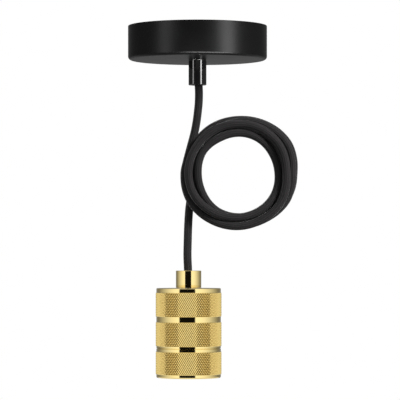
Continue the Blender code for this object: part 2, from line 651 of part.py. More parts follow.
def build_canopy_wiring(looks):
    """Sheathed cord end in the upper tube, the three cores and the strap's earth lug."""
    lean_x = -CORD_LEAN * math.cos(CANOPY_SCREW_ANGLE)
    lean_y = -CORD_LEAN * math.sin(CANOPY_SCREW_ANGLE)
    top_z = CANOPY_TUBE_TOP_Z + 2 * GAP
    bottom_z = CANOPY_GRIP_BOTTOM_Z + CORD_ENTRY + GAP
    outline = [(0, top_z), (CORD_R, top_z), (CORD_R, bottom_z), (0, bottom_z)]
    turned("cord_end_upper", outline, looks["textile"], (lean_x, lean_y, 0), segments=16)

    lug_top_z = STRAP_TOP_Z + GAP + LUG_THICKNESS
    barrel_rise = LUG_BARREL_R - LUG_THICKNESS
    lug_reach = SCREW_R + SCREW_PLAY + LUG_RING_WIDTH
    cable_lug("strap_earth_lug", (STRAP_LUG_X, 0, lug_top_z), SCREW_R + SCREW_PLAY, lug_reach, -barrel_rise,
              (1, 0, 0), looks["steel"])
    slotted_screw("strap_earth_screw", (STRAP_LUG_X, 0, lug_top_z + GAP), (0, 0, 1),
                  LUG_THICKNESS + STRAP_THICKNESS + 2 * GAP, looks["steel"])

    start_z = top_z + GAP
    over_z = -CORE_R - CORE_CLEARANCE / 2
    beside_y = STRAP_WIDTH / 2 + CORE_R + CORE_CLEARANCE
    pole_z = STRAP_UNDER_Z - GAP - BLOCK_HEIGHT / 2
    sleeve_x = BLOCK_START_X + SLEEVE_END
    for pole, side, look in (("line", -1, "core_brown"), ("neutral", 1, "core_blue")):
        begin = Vector((lean_x + 0.5 * CORE_RING_R, lean_y + side * 0.87 * CORE_RING_R, start_z))
        points = [begin, begin + Vector((0, 0, CORE_STRAIGHT)),
                  (begin.x, side * 0.32 * beside_y, over_z), (begin.x, side * 0.66 * beside_y, over_z),
                  (begin.x, side * beside_y, 0.6 * STRAP_TOP_Z),
                  (begin.x, side * beside_y, STRAP_UNDER_Z - CORE_R),
                  (0.5 * sleeve_x, side * (beside_y - 2 * CORE_R), pole_z),
                  (0.8 * sleeve_x, side * 0.6 * POLE_SPACING, pole_z),
                  (sleeve_x + CORE_CLEARANCE, side * POLE_SPACING / 2, pole_z)]
        tube_along("canopy_%s_core" % pole, points, CORE_R, looks[look], 3 * CORE_R)
    begin = Vector((lean_x - CORE_RING_R, lean_y, start_z))
    barrel_z = lug_top_z + barrel_rise
    barrel_x = STRAP_LUG_X + lug_reach + LUG_BARREL_LENGTH
    run_x = barrel_x - begin.x
    points = [begin, begin + Vector((0, 0, CORE_STRAIGHT)), (begin.x + 0.3 * run_x, 0, over_z),
              (begin.x + 0.55 * run_x, 0, over_z - CORE_R),
              (begin.x + 0.72 * run_x, 0, (over_z + barrel_z) / 2),
              (barrel_x + 1.8 * CORE_R, 0, barrel_z + 1.1 * CORE_R), (barrel_x + 0.5 * CORE_R, 0, barrel_z),
              (barrel_x - CORE_CLEARANCE, 0, barrel_z)]
    tube_along("canopy_earth_core", points, CORE_R, looks["core_earth"], 3 * CORE_R)


def build_cord(looks):
    """Free cord: upper stretch, the coil's outer shape and lower stretch."""
    spacing = 2 * CORD_R
    tube_along("cord_upper", UPPER_ROUTE, CORD_R, looks["textile"], spacing, resolution=3)
    tube_along("cord_lower", LOWER_ROUTE, CORD_R, looks["textile"], spacing, resolution=3)
    middle_r = (COIL_OUTER_R + COIL_INNER_R) / 2
    half_width = (COIL_OUTER_R - COIL_INNER_R) / 2
    sides = 10
    outline = []
    for i in range(sides):
        angle = 2 * math.pi * (i + 0.5) / sides
        across, deep = math.cos(angle), math.sin(angle)
        flatten = (across ** 4 + deep ** 4) ** 0.25
        outline.append((middle_r + half_width * across / flatten, COIL_DEPTH / 2 * deep / flatten))
    coil = turned("cord_coil", outline, looks["textile"], (COIL_X, COIL_Y, COIL_Z), segments=40)
    coil.rotation_euler = (math.pi / 2, 0, 0)


def build_holder_shell(looks):
    """Knurled upper shell with its spigot, and the knurled ring below it."""
    spigot_end_z = SPLIT_Z - SPIGOT_LENGTH
    upper = [(TAP_R, HOLDER_TOP_Z, False), (BAND_R - HOLDER_EDGE_R, HOLDER_TOP_Z, False),
             (BAND_R, HOLDER_TOP_Z - HOLDER_EDGE_R, False), (BAND_R, KNURL_ONE_Z, True),
             (BAND_R, GROOVE_ONE_Z, False), (BAND_R, KNURL_TWO_Z, True), (BAND_R, GROOVE_TWO_Z, False),
             (BAND_R, SPLIT_Z, False), (SPIGOT_R, SPLIT_Z, False), (SPIGOT_R, spigot_end_z, False),
             (SHELL_BORE_R, spigot_end_z, False), (SHELL_BORE_R, HOLDER_TOP_Z - TOP_PLATE, False),
             (TAP_R, HOLDER_TOP_Z - TOP_PLATE, False)]
    knurled_ring("upper_shell", upper, HOLDER_X, looks["brass"])

    lower = [(RING_BORE_R, SPLIT_Z - GAP, False), (BAND_R, SPLIT_Z - GAP, False),
             (BAND_R, KNURL_THREE_Z, True), (BAND_R, BOTTOM_RIM_Z, False),
             (BAND_R, HOLDER_BOTTOM_Z + BOTTOM_EDGE_R, False),
             (BAND_R - 0.3 * BOTTOM_EDGE_R, HOLDER_BOTTOM_Z + 0.3 * BOTTOM_EDGE_R, False),
             (BAND_R - BOTTOM_EDGE_R, HOLDER_BOTTOM_Z, False), (LIP_R, HOLDER_BOTTOM_Z, False),
             (LIP_R, LIP_TOP_Z, False), (RING_BORE_R, LIP_TOP_Z, False)]
    knurled_ring("lower_ring", lower, HOLDER_X, looks["brass"])


def build_holder_core(looks):
    """Porcelain body, screw shell, contacts and terminals."""
    outline = [(CAVITY_R, CERAMIC_BOTTOM_Z), (CAVITY_R, CAVITY_TOP_Z), (0, CAVITY_TOP_Z)]
    outline = [(0, CERAMIC_TOP_Z), (CERAMIC_R, CERAMIC_TOP_Z), (CERAMIC_R, FLANGE_TOP_Z),
               (FLANGE_R, FLANGE_TOP_Z), (FLANGE_R, CERAMIC_BOTTOM_Z)] + outline
    body = turned("ceramic_body", outline, looks["porcelain"], (HOLDER_X, 0, 0), segments=28)
    floor_z = (CERAMIC_TOP_Z + CAVITY_TOP_Z) / 2
    for screw_x in (LINE_SCREW_X, NEUTRAL_SCREW_X):
        drill(body, SCREW_R + SCREW_PLAY, 2 * CERAMIC_FLOOR, (HOLDER_X + screw_x, 0, floor_z))

    build_screw_shell(looks["contact_brass"])
    build_centre_contact(looks["contact_brass"])
    terminal_z = CERAMIC_TOP_Z + GAP
    screw_top_z = terminal_z + CONTACT_SCREW_BITE
    for pole, screw_x, side, sheet in (("line", LINE_SCREW_X, 1, CONTACT_THICKNESS),
                                       ("neutral", NEUTRAL_SCREW_X, -1, SHELL_WALL)):
        seat_z = CAVITY_TOP_Z - GAP - sheet - GAP
        screw_place = (HOLDER_X + screw_x, 0, seat_z)
        slotted_screw(pole + "_contact_screw", screw_place, (0, 0, -1), screw_top_z - seat_z, looks["steel"])
        middle_x = HOLDER_X + screw_x + side * (TERMINAL_LENGTH / 2 - TERMINAL_WALL)
        clamp_x = HOLDER_X + screw_x + side * CLAMP_OFFSET
        top_z = terminal_z + TERMINAL_HEIGHT
        block = bar(pole + "_terminal", (TERMINAL_LENGTH, TERMINAL_WIDTH, TERMINAL_HEIGHT),
                    looks["contact_brass"], (middle_x, 0, terminal_z + TERMINAL_HEIGHT / 2))
        bite = 2 * (CONTACT_SCREW_BITE + GAP)
        drill(block, SCREW_R + SCREW_PLAY, bite, (HOLDER_X + screw_x, 0, terminal_z))
        hole_z = top_z - CORE_HOLE_DROP
        drill(block, CORE_HOLE_R, 2 * TERMINAL_WIDTH, (clamp_x, 0, hole_z), (0, 1, 0))
        drill(block, SCREW_R + SCREW_PLAY, 2 * CORE_HOLE_DROP, (clamp_x, 0, top_z))
        slotted_screw(pole + "_clamp_screw", (clamp_x, 0, top_z + GAP), (0, 0, 1),
                      CORE_HOLE_DROP - CORE_R, looks["steel"])


def build_screw_shell(material):
    """Rolled screw shell: one thin wall with its thread and a floor ring."""
    mouth_z = CERAMIC_BOTTOM_Z + SHELL_MOUTH
    floor_z = CAVITY_TOP_Z - GAP
    outer = [(THREAD_CREST_R, mouth_z)]
    for i in range(THREAD_TURNS):
        low_z = mouth_z + THREAD_START + i * THREAD_PITCH
        outer += [(THREAD_CREST_R, low_z), (THREAD_CREST_R - THREAD_DEPTH, low_z + THREAD_PITCH / 2)]
    thread_end_z = mouth_z + THREAD_START + THREAD_TURNS * THREAD_PITCH
    outer += [(THREAD_CREST_R, thread_end_z), (THREAD_CREST_R, floor_z)]
    inner = [(radius - SHELL_WALL, height) for radius, height in reversed(outer)]
    inner[0] = (THREAD_CREST_R - SHELL_WALL, floor_z - SHELL_WALL)
    outline = outer + [(SHELL_FLOOR_R, floor_z), (SHELL_FLOOR_R, floor_z - SHELL_WALL)] + inner
    shell = turned("screw_shell", outline, material, (HOLDER_X, 0, 0), segments=20)
    drill(shell, SCREW_R + SCREW_PLAY, 4 * SHELL_WALL, (HOLDER_X + NEUTRAL_SCREW_X, 0, floor_z))


def build_centre_contact(material):
    """Spring tongue that meets the tip of the lamp."""
    top_z = CAVITY_TOP_Z - GAP
    foot_end = LINE_SCREW_X + SCREW_HEAD_R + GAP
    bend_x = LINE_SCREW_X - SCREW_HEAD_R - GAP
    low_z = top_z - CONTACT_REACH + CONTACT_CURL
    curl_x = CONTACT_TIP_X - CONTACT_CURL
    curl_z = low_z + CONTACT_CURL / 3
    outline = [(foot_end, top_z), (bend_x, top_z), (CONTACT_TIP_X, low_z), (curl_x, curl_z),
               (curl_x, curl_z - CONTACT_THICKNESS), (CONTACT_TIP_X, low_z - CONTACT_THICKNESS),
               (bend_x, top_z - 1.3 * CONTACT_THICKNESS), (foot_end, top_z - CONTACT_THICKNESS)]
    tongue = strip("centre_contact", outline, CONTACT_WIDTH, material, (HOLDER_X, 0, 0))
    drill(tongue, SCREW_R + SCREW_PLAY, 4 * CONTACT_THICKNESS, (HOLDER_X + LINE_SCREW_X, 0, top_z))


def build_holder_entry(looks):
    """Cord grip, threaded tube, lock nut and earth lug at the holder's top plate."""
    grip = cord_grip("holder_grip", (HOLDER_GRIP_TOP_Z, HOLDER_GRIP_BOTTOM_Z), HOLDER_GRIP_SHOULDER_Z,
                     HOLDER_GRIP_R, (True, False), HOLDER_X, looks["brass"])
    screw_z = (HOLDER_GRIP_TOP_Z + HOLDER_GRIP_SHOULDER_Z) / 2
    add_grub_screw(grip, "holder_grip_screw", (HOLDER_X, 0, screw_z), HOLDER_GRIP_R, HOLDER_SCREW_ANGLE,
                   looks["steel"])
    threaded_tube("holder_tube", HOLDER_GRIP_SHOULDER_Z - GAP, HOLDER_TUBE_END_Z, HOLDER_X, looks["steel"])
    lock_nut("holder_nut", HOLDER_NUT_Z, HOLDER_X, looks["steel"])
    barrel_start = NUT_CORNER_R + LUG_NUT_CLEARANCE
    cable_lug("holder_earth_lug", (HOLDER_X, 0, HOLDER_LUG_Z), TAP_R, barrel_start, LUG_BARREL_R, (0, 1, 0),
              looks["steel"])
    return barrel_start


def build_holder_wiring(looks, barrel_start):
    """Sheathed cord end in the lower tube and the three cores to their terminals."""
    lean_x = HOLDER_X - CORD_LEAN * math.cos(HOLDER_SCREW_ANGLE)
    lean_y = -CORD_LEAN * math.sin(HOLDER_SCREW_ANGLE)
    top_z = HOLDER_GRIP_TOP_Z - CORD_ENTRY - GAP
    outline = [(0, top_z), (CORD_R, top_z), (CORD_R, SHEATH_END_Z), (0, SHEATH_END_Z)]
    turned("cord_end_lower", outline, looks["textile"], (lean_x, lean_y, 0), segments=16)

    start_z = SHEATH_END_Z - GAP
    bend_z = start_z - CORE_DROP
    hole_z = CERAMIC_TOP_Z + GAP + TERMINAL_HEIGHT - CORE_HOLE_DROP
    face_y = -TERMINAL_WIDTH / 2
    swing_y = face_y - CORE_SWING
    for pole, screw_x, side, look in (("line", LINE_SCREW_X, 1, "core_brown"),
                                      ("neutral", NEUTRAL_SCREW_X, -1, "core_blue")):
        clamp_x = HOLDER_X + screw_x + side * CLAMP_OFFSET
        begin = Vector((lean_x + side * 0.87 * CORE_RING_R, lean_y - 0.5 * CORE_RING_R, start_z))
        along = clamp_x - begin.x
        points = [begin, begin + Vector((0, 0, -CORE_STRAIGHT)),
                  (begin.x + 0.3 * along, swing_y / 2, bend_z),
                  (begin.x + 0.7 * along, swing_y, (bend_z + hole_z) / 2),
                  (begin.x + 0.95 * along, swing_y, hole_z + CORE_R),
                  (clamp_x, face_y - CORE_CLEARANCE, hole_z), (clamp_x, face_y + CORE_BITE, hole_z)]
        tube_along("holder_%s_core" % pole, points, CORE_R, looks[look], 3 * CORE_R)

    barrel_z = HOLDER_LUG_Z - LUG_BARREL_R
    barrel_end = barrel_start + LUG_BARREL_LENGTH
    reach_y = barrel_end + EARTH_LOOP
    begin = Vector((lean_x, lean_y + CORE_RING_R, start_z))
    points = [begin, begin + Vector((0, 0, -CORE_STRAIGHT)),
              (HOLDER_X, 0.28 * reach_y, start_z - 0.8 * CORE_DROP), (HOLDER_X, 0.56 * reach_y, bend_z),
              (HOLDER_X, 0.88 * reach_y, start_z - 0.6 * CORE_DROP), (HOLDER_X, reach_y, start_z),
              (HOLDER_X, barrel_end + 2.4 * CORE_R, barrel_z - 0.6 * CORE_R),
              (HOLDER_X, barrel_end - CORE_CLEARANCE, barrel_z)]
    tube_along("holder_earth_core", points, CORE_R, looks["core_earth"], 3 * CORE_R)


def main():
    """Build the whole lamp."""
    clear_scene()
    looks = make_materials()
    build_canopy(looks)
    build_terminal_block(looks)
    build_canopy_wiring(looks)
    build_cord(looks)
    build_holder_shell(looks)
    build_holder_core(looks)
    barrel_start = build_holder_entry(looks)
    build_holder_wiring(looks, barrel_start)


main()
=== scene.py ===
"""Pendant light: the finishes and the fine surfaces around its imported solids.

Canopy, coiled textile cord and knurled brass lamp holder, in metres, +Z up, with the
origin in the middle of the ceiling face.
"""

import json
import math

import bmesh
import bpy
import numpy as np
from mathutils import Matrix, Vector


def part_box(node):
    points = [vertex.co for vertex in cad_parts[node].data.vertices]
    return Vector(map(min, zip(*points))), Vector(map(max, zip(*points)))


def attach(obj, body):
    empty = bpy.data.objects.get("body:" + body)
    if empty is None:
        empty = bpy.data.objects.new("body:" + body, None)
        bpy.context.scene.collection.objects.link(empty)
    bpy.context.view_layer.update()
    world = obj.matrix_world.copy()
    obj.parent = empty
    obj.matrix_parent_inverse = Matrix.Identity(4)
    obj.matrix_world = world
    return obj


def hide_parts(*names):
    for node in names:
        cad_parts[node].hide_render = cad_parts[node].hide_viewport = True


bl_info = {
    "name": "Pendant light",
    "version": (1, 0, 0),
    "blender": (4, 5, 0),
    "location": "3D View > Sidebar > Pendant",
    "description": "Dresses a ceiling canopy, its coiled textile cord and a knurled lamp holder",
    "category": "Object",
}

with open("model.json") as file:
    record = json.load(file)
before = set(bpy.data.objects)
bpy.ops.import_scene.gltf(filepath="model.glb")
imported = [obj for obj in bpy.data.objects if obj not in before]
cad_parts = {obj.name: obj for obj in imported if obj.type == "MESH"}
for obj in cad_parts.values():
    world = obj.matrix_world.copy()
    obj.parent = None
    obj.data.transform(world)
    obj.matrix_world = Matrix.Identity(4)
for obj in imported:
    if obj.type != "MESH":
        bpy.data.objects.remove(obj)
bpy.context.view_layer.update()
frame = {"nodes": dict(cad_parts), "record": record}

BODY = "root"

# Distances under which vertices count as one
TOUCH = 1e-7
WELD = 2e-6

# Angle in degrees over which an edge stays sharp
SHARP_ANGLE = 30.0


def node_middle(node):
    """Middle of a solid's box."""
    low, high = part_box(node)
    return (low + high) / 2


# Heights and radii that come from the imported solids
CUP_LOW, CUP_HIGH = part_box("canopy_cup")
CUP_R = CUP_HIGH.x
CANOPY_GRIP_LOW, CANOPY_GRIP_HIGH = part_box("canopy_grip")
HOLDER_LOW, HOLDER_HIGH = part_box("upper_shell")
RING_LOW, RING_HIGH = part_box("lower_ring")
HOLDER_X = (RING_LOW.x + RING_HIGH.x) / 2
HOLDER_GRIP_LOW, HOLDER_GRIP_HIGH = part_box("holder_grip")
PORCELAIN_LOW, PORCELAIN_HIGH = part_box("ceramic_body")
THREAD_LOW, THREAD_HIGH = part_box("screw_shell")
COIL_LOW, COIL_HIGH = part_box("cord_coil")
COIL_X = (COIL_LOW.x + COIL_HIGH.x) / 2
COIL_Z = (COIL_LOW.z + COIL_HIGH.z) / 2

# Bores that the threaded tubes and the cord pass through
TAP_R = 0.0053
CORD_BORE_R = 0.0043

# Screw holes in the grips and in the porcelain
GRUB_HOLE_R = 0.00165
CONTACT_HOLE_R = 0.0017

# Canopy cup
CUP_WALL = 0.0012

# Knurled holder, from its top down
BAND_R = 0.02323
TOP_RIM = 0.0034
KNURL_UPPER = 0.0168
KNURL_LOWER = 0.0159
GROOVE = 0.0044
GROOVE_ABOVE_SPLIT = 0.0017
SPLIT_GAP = 0.0003
SPIGOT_R = 0.0219
SPIGOT_BORE_R = 0.0203
TOP_PLATE = 0.0022
LIP_R = 0.0175
LIP_THICKNESS = 0.0020
RING_BORE_R = 0.0222

# Porcelain body and screw shell
FLANGE_R = 0.0219
CAVITY_R = 0.0141
PORCELAIN_R = 0.0170
PORCELAIN_FLOOR = 0.0065
SHELL_WALL = 0.0004
SHELL_FLOOR_R = 0.0076
THREAD_PITCH = 0.00363
THREAD_DEPTH = 0.0010
THREAD_MARGIN = 0.0012

# Route of the cord, as chosen points from the canopy grip to the coil
UPPER_ROUTE = (
    (0.00069, -0.00040, -0.04080),
    (0.00090, -0.00030, -0.04400),
    (0.00105, -0.00015, -0.04800),
    (0.00100, 0.00000, -0.05250),
    (0.00075, 0.00010, -0.05700),
    (0.00030, 0.00015, -0.06120),
    (-0.00020, 0.00015, -0.06550),
    (-0.00080, 0.00010, -0.06960),
    (-0.00178, 0.00005, -0.07490),
)
COIL_ENTRY = (
    (-0.00300, -0.00010, -0.08000),
    (-0.00450, -0.00010, -0.08550),
    (-0.00620, 0.00020, -0.09200),
    (-0.00780, 0.00080, -0.09850),
)
COIL_LEAVING = (
    (-0.00360, 0.00980, -0.11150),
    (-0.00430, 0.01000, -0.11800),
    (-0.00510, 0.00850, -0.12500),
)

# Route of the cord, as chosen points from the coil to the lamp holder's grip
LOWER_ROUTE = (
    (-0.00596, 0.00590, -0.13160),
    (-0.00640, 0.00480, -0.13760),
    (-0.00664, 0.00370, -0.14200),
    (-0.00686, 0.00250, -0.14740),
    (-0.00702, 0.00130, -0.15380),
    (-0.00718, 0.00030, -0.16020),
    (-0.00724, -0.00030, -0.16450),
    (-0.00714, -0.00055, -0.16880),
    (-0.00692, -0.00067, -0.17310),
    (-0.00680, -0.00069, -0.17790),
)

# Coil: distance from its middle in metres and depth in cord diameters, at each quarter turn
# from the left side downwards; a depth below zero is nearer to the viewer
COIL_QUARTERS = (
    (0.03899, 0.30), (0.03775, -1.00), (0.03385, -1.00), (0.03500, -1.00),
    (0.03630, -1.15), (0.03170, -1.00), (0.02890, -0.10), (0.02960, -0.85),
    (0.02995, -0.75), (0.03180, 0.05), (0.03144, 0.85), (0.03450, 0.55),
    (0.03290, 0.05), (0.03209, 1.05), (0.03856, 0.85), (0.03785, 0.90),
    (0.03680, 1.05), (0.03700, 0.05), (0.03680, -0.05), (0.03550, 0.05),
    (0.03250, 1.50),
)
# How far the outermost and the innermost strands lie off their circles, in metres, at every
# twelfth of a turn from the right side upwards
OUTER_STRAND_R = 0.0375
INNER_STRAND_R = 0.0295
OUTER_BULGE = (0.0008, 0.0027, 0.0017, 0.0005, 0.0001, -0.0005,
               0.0002, 0.0012, 0.0005, 0.0003, 0.0005, 0.0020)
INNER_BULGE = (-0.0008, -0.0012, -0.0009, -0.0009, -0.0008, 0.0008,
               0.0001, -0.0001, 0.0008, 0.0003, 0.0003, 0.0002)

# Cord: points between two knots, points that ease a held end into the coil, and how many of the
# surface's rings there are to a point of the declared path
CURVE_STEPS = 10
EASED_POINTS = 4

# Braid: length of one raised stretch of yarn along the cord, and how far it leans in its column
FLOAT_LENGTH = 0.00125
FLOAT_LEAN = 1.15

# Camera, floor and lamps
CAMERA_X = 0.0018
CAMERA_Z = -0.167
CAMERA_SHIFT = 0.145
SENSOR_WIDTH = 36.0
FLOOR_REACH = 6.0
FLOOR_GLOW = 0.93
LAMP_DISTANCE = 1.5
LAMP_AIM = Vector((0, 0, -0.13))

# What polished metal mirrors: a dark card behind the camera that fades out at its left, right and
# top, and a bright room at the sides and behind. Angles are in degrees around from the camera, and
# the card's top is a share of straight up
CARD_LEFT = (-35.0, -31.0)
CARD_RIGHT = (22.0, 26.0)
CARD_TOP = (0.55, 0.80)
CARD_DARKNESS = 0.995
SIDE_ANGLE = 30.0
SIDE_SPREAD = 78.0
SIDE_LEVEL = 1.30
LEAST_LEVEL = 0.24
BACK_SPREAD = 24.0
BACK_LEVEL = 0.08


class CordSettings(bpy.types.PropertyGroup):
    """Sizes and colour of the textile cord."""

    diameter: bpy.props.FloatProperty(
        name="Diameter", description="Outer diameter of the braided cord", default=0.0059,
        min=0.003, max=0.012, precision=5, unit="LENGTH")
    length: bpy.props.FloatProperty(
        name="Length", description="Length of the free cord between the two grips", default=1.233,
        min=0.2, max=5.0, precision=3, unit="LENGTH")
    turn_points: bpy.props.IntProperty(
        name="Points a turn", description="Route points worked out for each turn of the coil",
        default=24, min=12, max=48)
    sides: bpy.props.IntProperty(
        name="Sides", description="Faces around the cord, a multiple of the braid's columns",
        default=48, min=12, max=96)
    spacing: bpy.props.FloatProperty(
        name="Ring spacing", description="Distance between two rings of the cord's surface",
        default=0.0012, min=0.0005, max=0.005, precision=5, unit="LENGTH")
    columns: bpy.props.IntProperty(
        name="Braid columns", description="Columns of yarn around the cord", default=12, min=4, max=32)
    relief: bpy.props.FloatProperty(
        name="Relief", description="Height of the braid's columns", default=0.00011,
        min=0.0, max=0.0005, precision=6, unit="LENGTH")
    colour: bpy.props.FloatVectorProperty(
        name="Yarn colour", description="Colour of the raised yarn", default=(0.064, 0.060, 0.062),
        subtype="COLOR", size=3, min=0.0, max=1.0)
    # Painted shade: the colour the braid is darkened to between its yarns and columns, where shade falls
    shade: bpy.props.FloatVectorProperty(
        name="Gap colour", description="Colour between the yarns", default=(0.006, 0.006, 0.006),
        subtype="COLOR", size=3, min=0.0, max=1.0)


class CanopySettings(bpy.types.PropertyGroup):
    """Sizes and colours of the canopy and its grip."""

    edge_radius: bpy.props.FloatProperty(
        name="Edge radius", description="Rounding of the cup's lower edge", default=0.0025,
        min=0.0015, max=0.008, precision=5, unit="LENGTH")
    segments: bpy.props.IntProperty(
        name="Segments", description="Faces around the cup", default=192, min=32, max=512)
    colour: bpy.props.FloatVectorProperty(
        name="Cup colour", description="Satin black coat of the cup", default=(0.0004, 0.0004, 0.0004),
        subtype="COLOR", size=3, min=0.0, max=1.0)
    grip_colour: bpy.props.FloatVectorProperty(
        name="Grip colour", description="Gloss black of the canopy's grip", default=(0.0010, 0.0010, 0.0011),
        subtype="COLOR", size=3, min=0.0, max=1.0)


class HolderSettings(bpy.types.PropertyGroup):
    """Sizes and colours of the lamp holder."""

    diamonds: bpy.props.IntProperty(
        name="Diamonds", description="Knurled diamonds around a band", default=102, min=24, max=160)
    half_rows: bpy.props.IntProperty(
        name="Half rows", description="Half rows of diamonds in a full band", default=14, min=4, max=24)
    last_half_rows: bpy.props.IntProperty(
        name="Half rows below", description="Half rows of diamonds in the lowest band", default=13,
        min=4, max=24)
    crest: bpy.props.FloatProperty(
        name="Crest", description="Height of a diamond over its grooves", default=0.00047,
        min=0.0001, max=0.001, precision=6, unit="LENGTH")
    groove_width: bpy.props.FloatProperty(
        name="Groove", description="Half width of the flat between two diamonds", default=0.00006,
        min=0.00001, max=0.0003, precision=6, unit="LENGTH")
    flank: bpy.props.FloatProperty(
        name="Flank", description="Width of a diamond's sloping side", default=0.00038,
        min=0.0001, max=0.0006, precision=6, unit="LENGTH")
    flank_rise: bpy.props.FloatProperty(
        name="Flank rise", description="Height that a diamond gains over its sloping side",
        default=0.00025, min=0.0001, max=0.0006, precision=6, unit="LENGTH")
    wall: bpy.props.FloatProperty(
        name="Groove wall", description="Width of the steep wall between the groove and the flank",
        default=0.00011, min=0.00002, max=0.0003, precision=6, unit="LENGTH")
    colour: bpy.props.FloatVectorProperty(
        name="Brass", description="Colour of the polished brass", default=(0.86, 0.715, 0.34),
        subtype="COLOR", size=3, min=0.0, max=1.0)
    # Painted shade: the dark brass colour given to the knurl's grooves, where shade falls
    dark: bpy.props.FloatVectorProperty(
        name="Groove brass", description="Colour of the brass in the knurl's grooves",
        default=(0.20, 0.125, 0.030), subtype="COLOR", size=3, min=0.0, max=1.0)


class StageSettings(bpy.types.PropertyGroup):
    """Lamps, floor and camera."""

    floor_drop: bpy.props.FloatProperty(
        name="Floor depth", description="How far the floor lies below the ceiling face", default=2.4,
        min=0.4, max=4.0, unit="LENGTH")
    lens: bpy.props.FloatProperty(
        name="Lens", description="Focal length of the camera", default=225.0, min=20.0, max=400.0,
        unit="CAMERA")
    distance: bpy.props.FloatProperty(
        name="Distance", description="Distance of the camera from the cord's plane", default=1.80,
        min=0.3, max=5.0, unit="LENGTH")
    key_level: bpy.props.FloatProperty(
        name="Key level", description="Brightness of the right-hand strip on the cup", default=34.0,
        min=0.0, max=100.0)
    fill_level: bpy.props.FloatProperty(
        name="Fill level", description="Brightness of the left-hand strip on the cup", default=11.0,
        min=0.0, max=100.0)
    gloss_level: bpy.props.FloatProperty(
        name="Gloss level", description="Brightness of the right-hand strip on the black grip",
        default=72.0, min=0.0, max=200.0)
    front_level: bpy.props.FloatProperty(
        name="Front level", description="Brightness of the high lamps before and behind the light",
        default=52.0, min=0.0, max=100.0)
    soft_level: bpy.props.FloatProperty(
        name="Soft level", description="Brightness of the even light around the object", default=0.12,
        min=0.0, max=2.0)


class Wire:
    """One changing value in a material, to calculate with."""

    def __init__(self, finish, socket):
        self.finish = finish
        self.socket = socket

    def maths(self, operation, *pair):
        """Add a Math node on this value and others."""
        inputs = {index: value for index, value in enumerate(pair)}
        return self.finish.node("ShaderNodeMath", {"operation": operation}, inputs)

    def __add__(self, other):
        return self.maths("ADD", self, other)

    def __radd__(self, other):
        return self.maths("ADD", other, self)

    def __sub__(self, other):
        return self.maths("SUBTRACT", self, other)

    def __rsub__(self, other):
        return self.maths("SUBTRACT", other, self)

    def __mul__(self, other):
        return self.maths("MULTIPLY", self, other)

    def __rmul__(self, other):
        return self.maths("MULTIPLY", other, self)

    def __truediv__(self, other):
        return self.maths("DIVIDE", self, other)

    def __pow__(self, other):
        return self.maths("POWER", self, other)

    def sine(self):
        """Sine of an angle in radians."""
        return self.maths("SINE", self)

    def size(self):
        """The value without its sign."""
        return self.maths("ABSOLUTE", self)

    def bell(self):
        """One at zero, falling off on both sides."""
        square = self * self * -1.0
        return square.maths("EXPONENT", square)

    def zigzag(self, step):
        """A value that runs up and down between zero and a step."""
        return self.maths("PINGPONG", self, step)

    def root(self):
        """Square root."""
        return self.maths("SQRT", self)

    def angle_from(self, other):
        """Angle whose sine and cosine go with this value and another."""
        return self.maths("ARCTAN2", self, other)

    def ramp(self, low, high):
        """Zero below low, one above high, smooth between them."""
        settings = {"interpolation_type": "SMOOTHSTEP"}
        return self.finish.node("ShaderNodeMapRange", settings, {0: self, 1: low, 2: high})


class Finish:
    """A node material, built from expressions."""

    def __init__(self, name, tree_owner=None):
        self.owner = tree_owner or bpy.data.materials.new(name)
        self.owner.use_nodes = True
        self.tree = self.owner.node_tree
        self.shader = self.tree.nodes.get("Principled BSDF")

    def connect(self, socket, value):
        """Set a socket, or link it to a changing value."""
        if isinstance(value, Wire):
            self.tree.links.new(value.socket, socket)
        elif hasattr(value, "__len__") and socket.type == "RGBA" and len(value) == 3:
            socket.default_value = (*value, 1.0)
        else:
            socket.default_value = value

    def node(self, kind, settings=None, inputs=None, output=0):
        """Add a node: its settings first, then its sockets. Return one of its outputs."""
        made = self.tree.nodes.new(kind)
        for name, value in (settings or {}).items():
            setattr(made, name, value)
        for key, value in (inputs or {}).items():
            self.connect(made.inputs[key], value)
        return Wire(self, made.outputs[output])

    def mix(self, share, first, second):
        """Mix two colours."""
        return self.node("ShaderNodeMix", {"data_type": "RGBA"}, {0: share, 6: first, 7: second}, 2)

    def place(self):
        """Position on the piece in metres."""
        return self.node("ShaderNodeTexCoord", output="Object")

    def split(self, vector):
        """The three numbers of a vector."""
        first = self.node("ShaderNodeSeparateXYZ", inputs={0: vector})
        return [Wire(self, socket) for socket in first.socket.node.outputs]

    def noise(self, vector, scale, detail=2.0, roughness=0.5):
        """Cloudy pattern between zero and one."""
        inputs = {"Vector": vector, "Scale": scale, "Detail": detail, "Roughness": roughness}
        return self.node("ShaderNodeTexNoise", inputs=inputs)

    def stretched(self, vector, scale):
        """A position scaled by its own amount along each axis."""
        return self.node("ShaderNodeMapping", inputs={"Vector": vector, "Scale": scale})

    def rays(self, *kinds):
        """For each kind of ray, such as Camera, a value that is one on it and zero on the others."""
        outputs = self.node("ShaderNodeLightPath").socket.node.outputs
        return [Wire(self, outputs["Is %s Ray" % kind]) for kind in kinds]

    def bump(self, height, distance, strength=1.0):
        """Relief of a height in metres."""
        inputs = {"Height": height, "Distance": distance, "Strength": strength}
        self.set(Normal=self.node("ShaderNodeBump", inputs=inputs))

    def set(self, **sockets):
        """Set sockets of the shader; an underscore stands for a space."""
        for name, value in sockets.items():
            self.connect(self.shader.inputs[name.replace("_", " ")], value)
        return self


def powder_coat(colour):
    """Satin black coat with a faint orange peel."""
    finish = Finish("canopy_black")
    place = finish.place()
    peel = finish.noise(place, 1300.0, 1.0)
    cloud = finish.noise(place, 60.0, 3.0)
    finish.set(Base_Color=finish.mix(cloud, colour, [1.5 * part for part in colour]),
               Roughness=0.30 + 0.07 * cloud, Specular_IOR_Level=0.045)
    finish.bump(peel, 0.00003, 0.35)
    return finish.owner


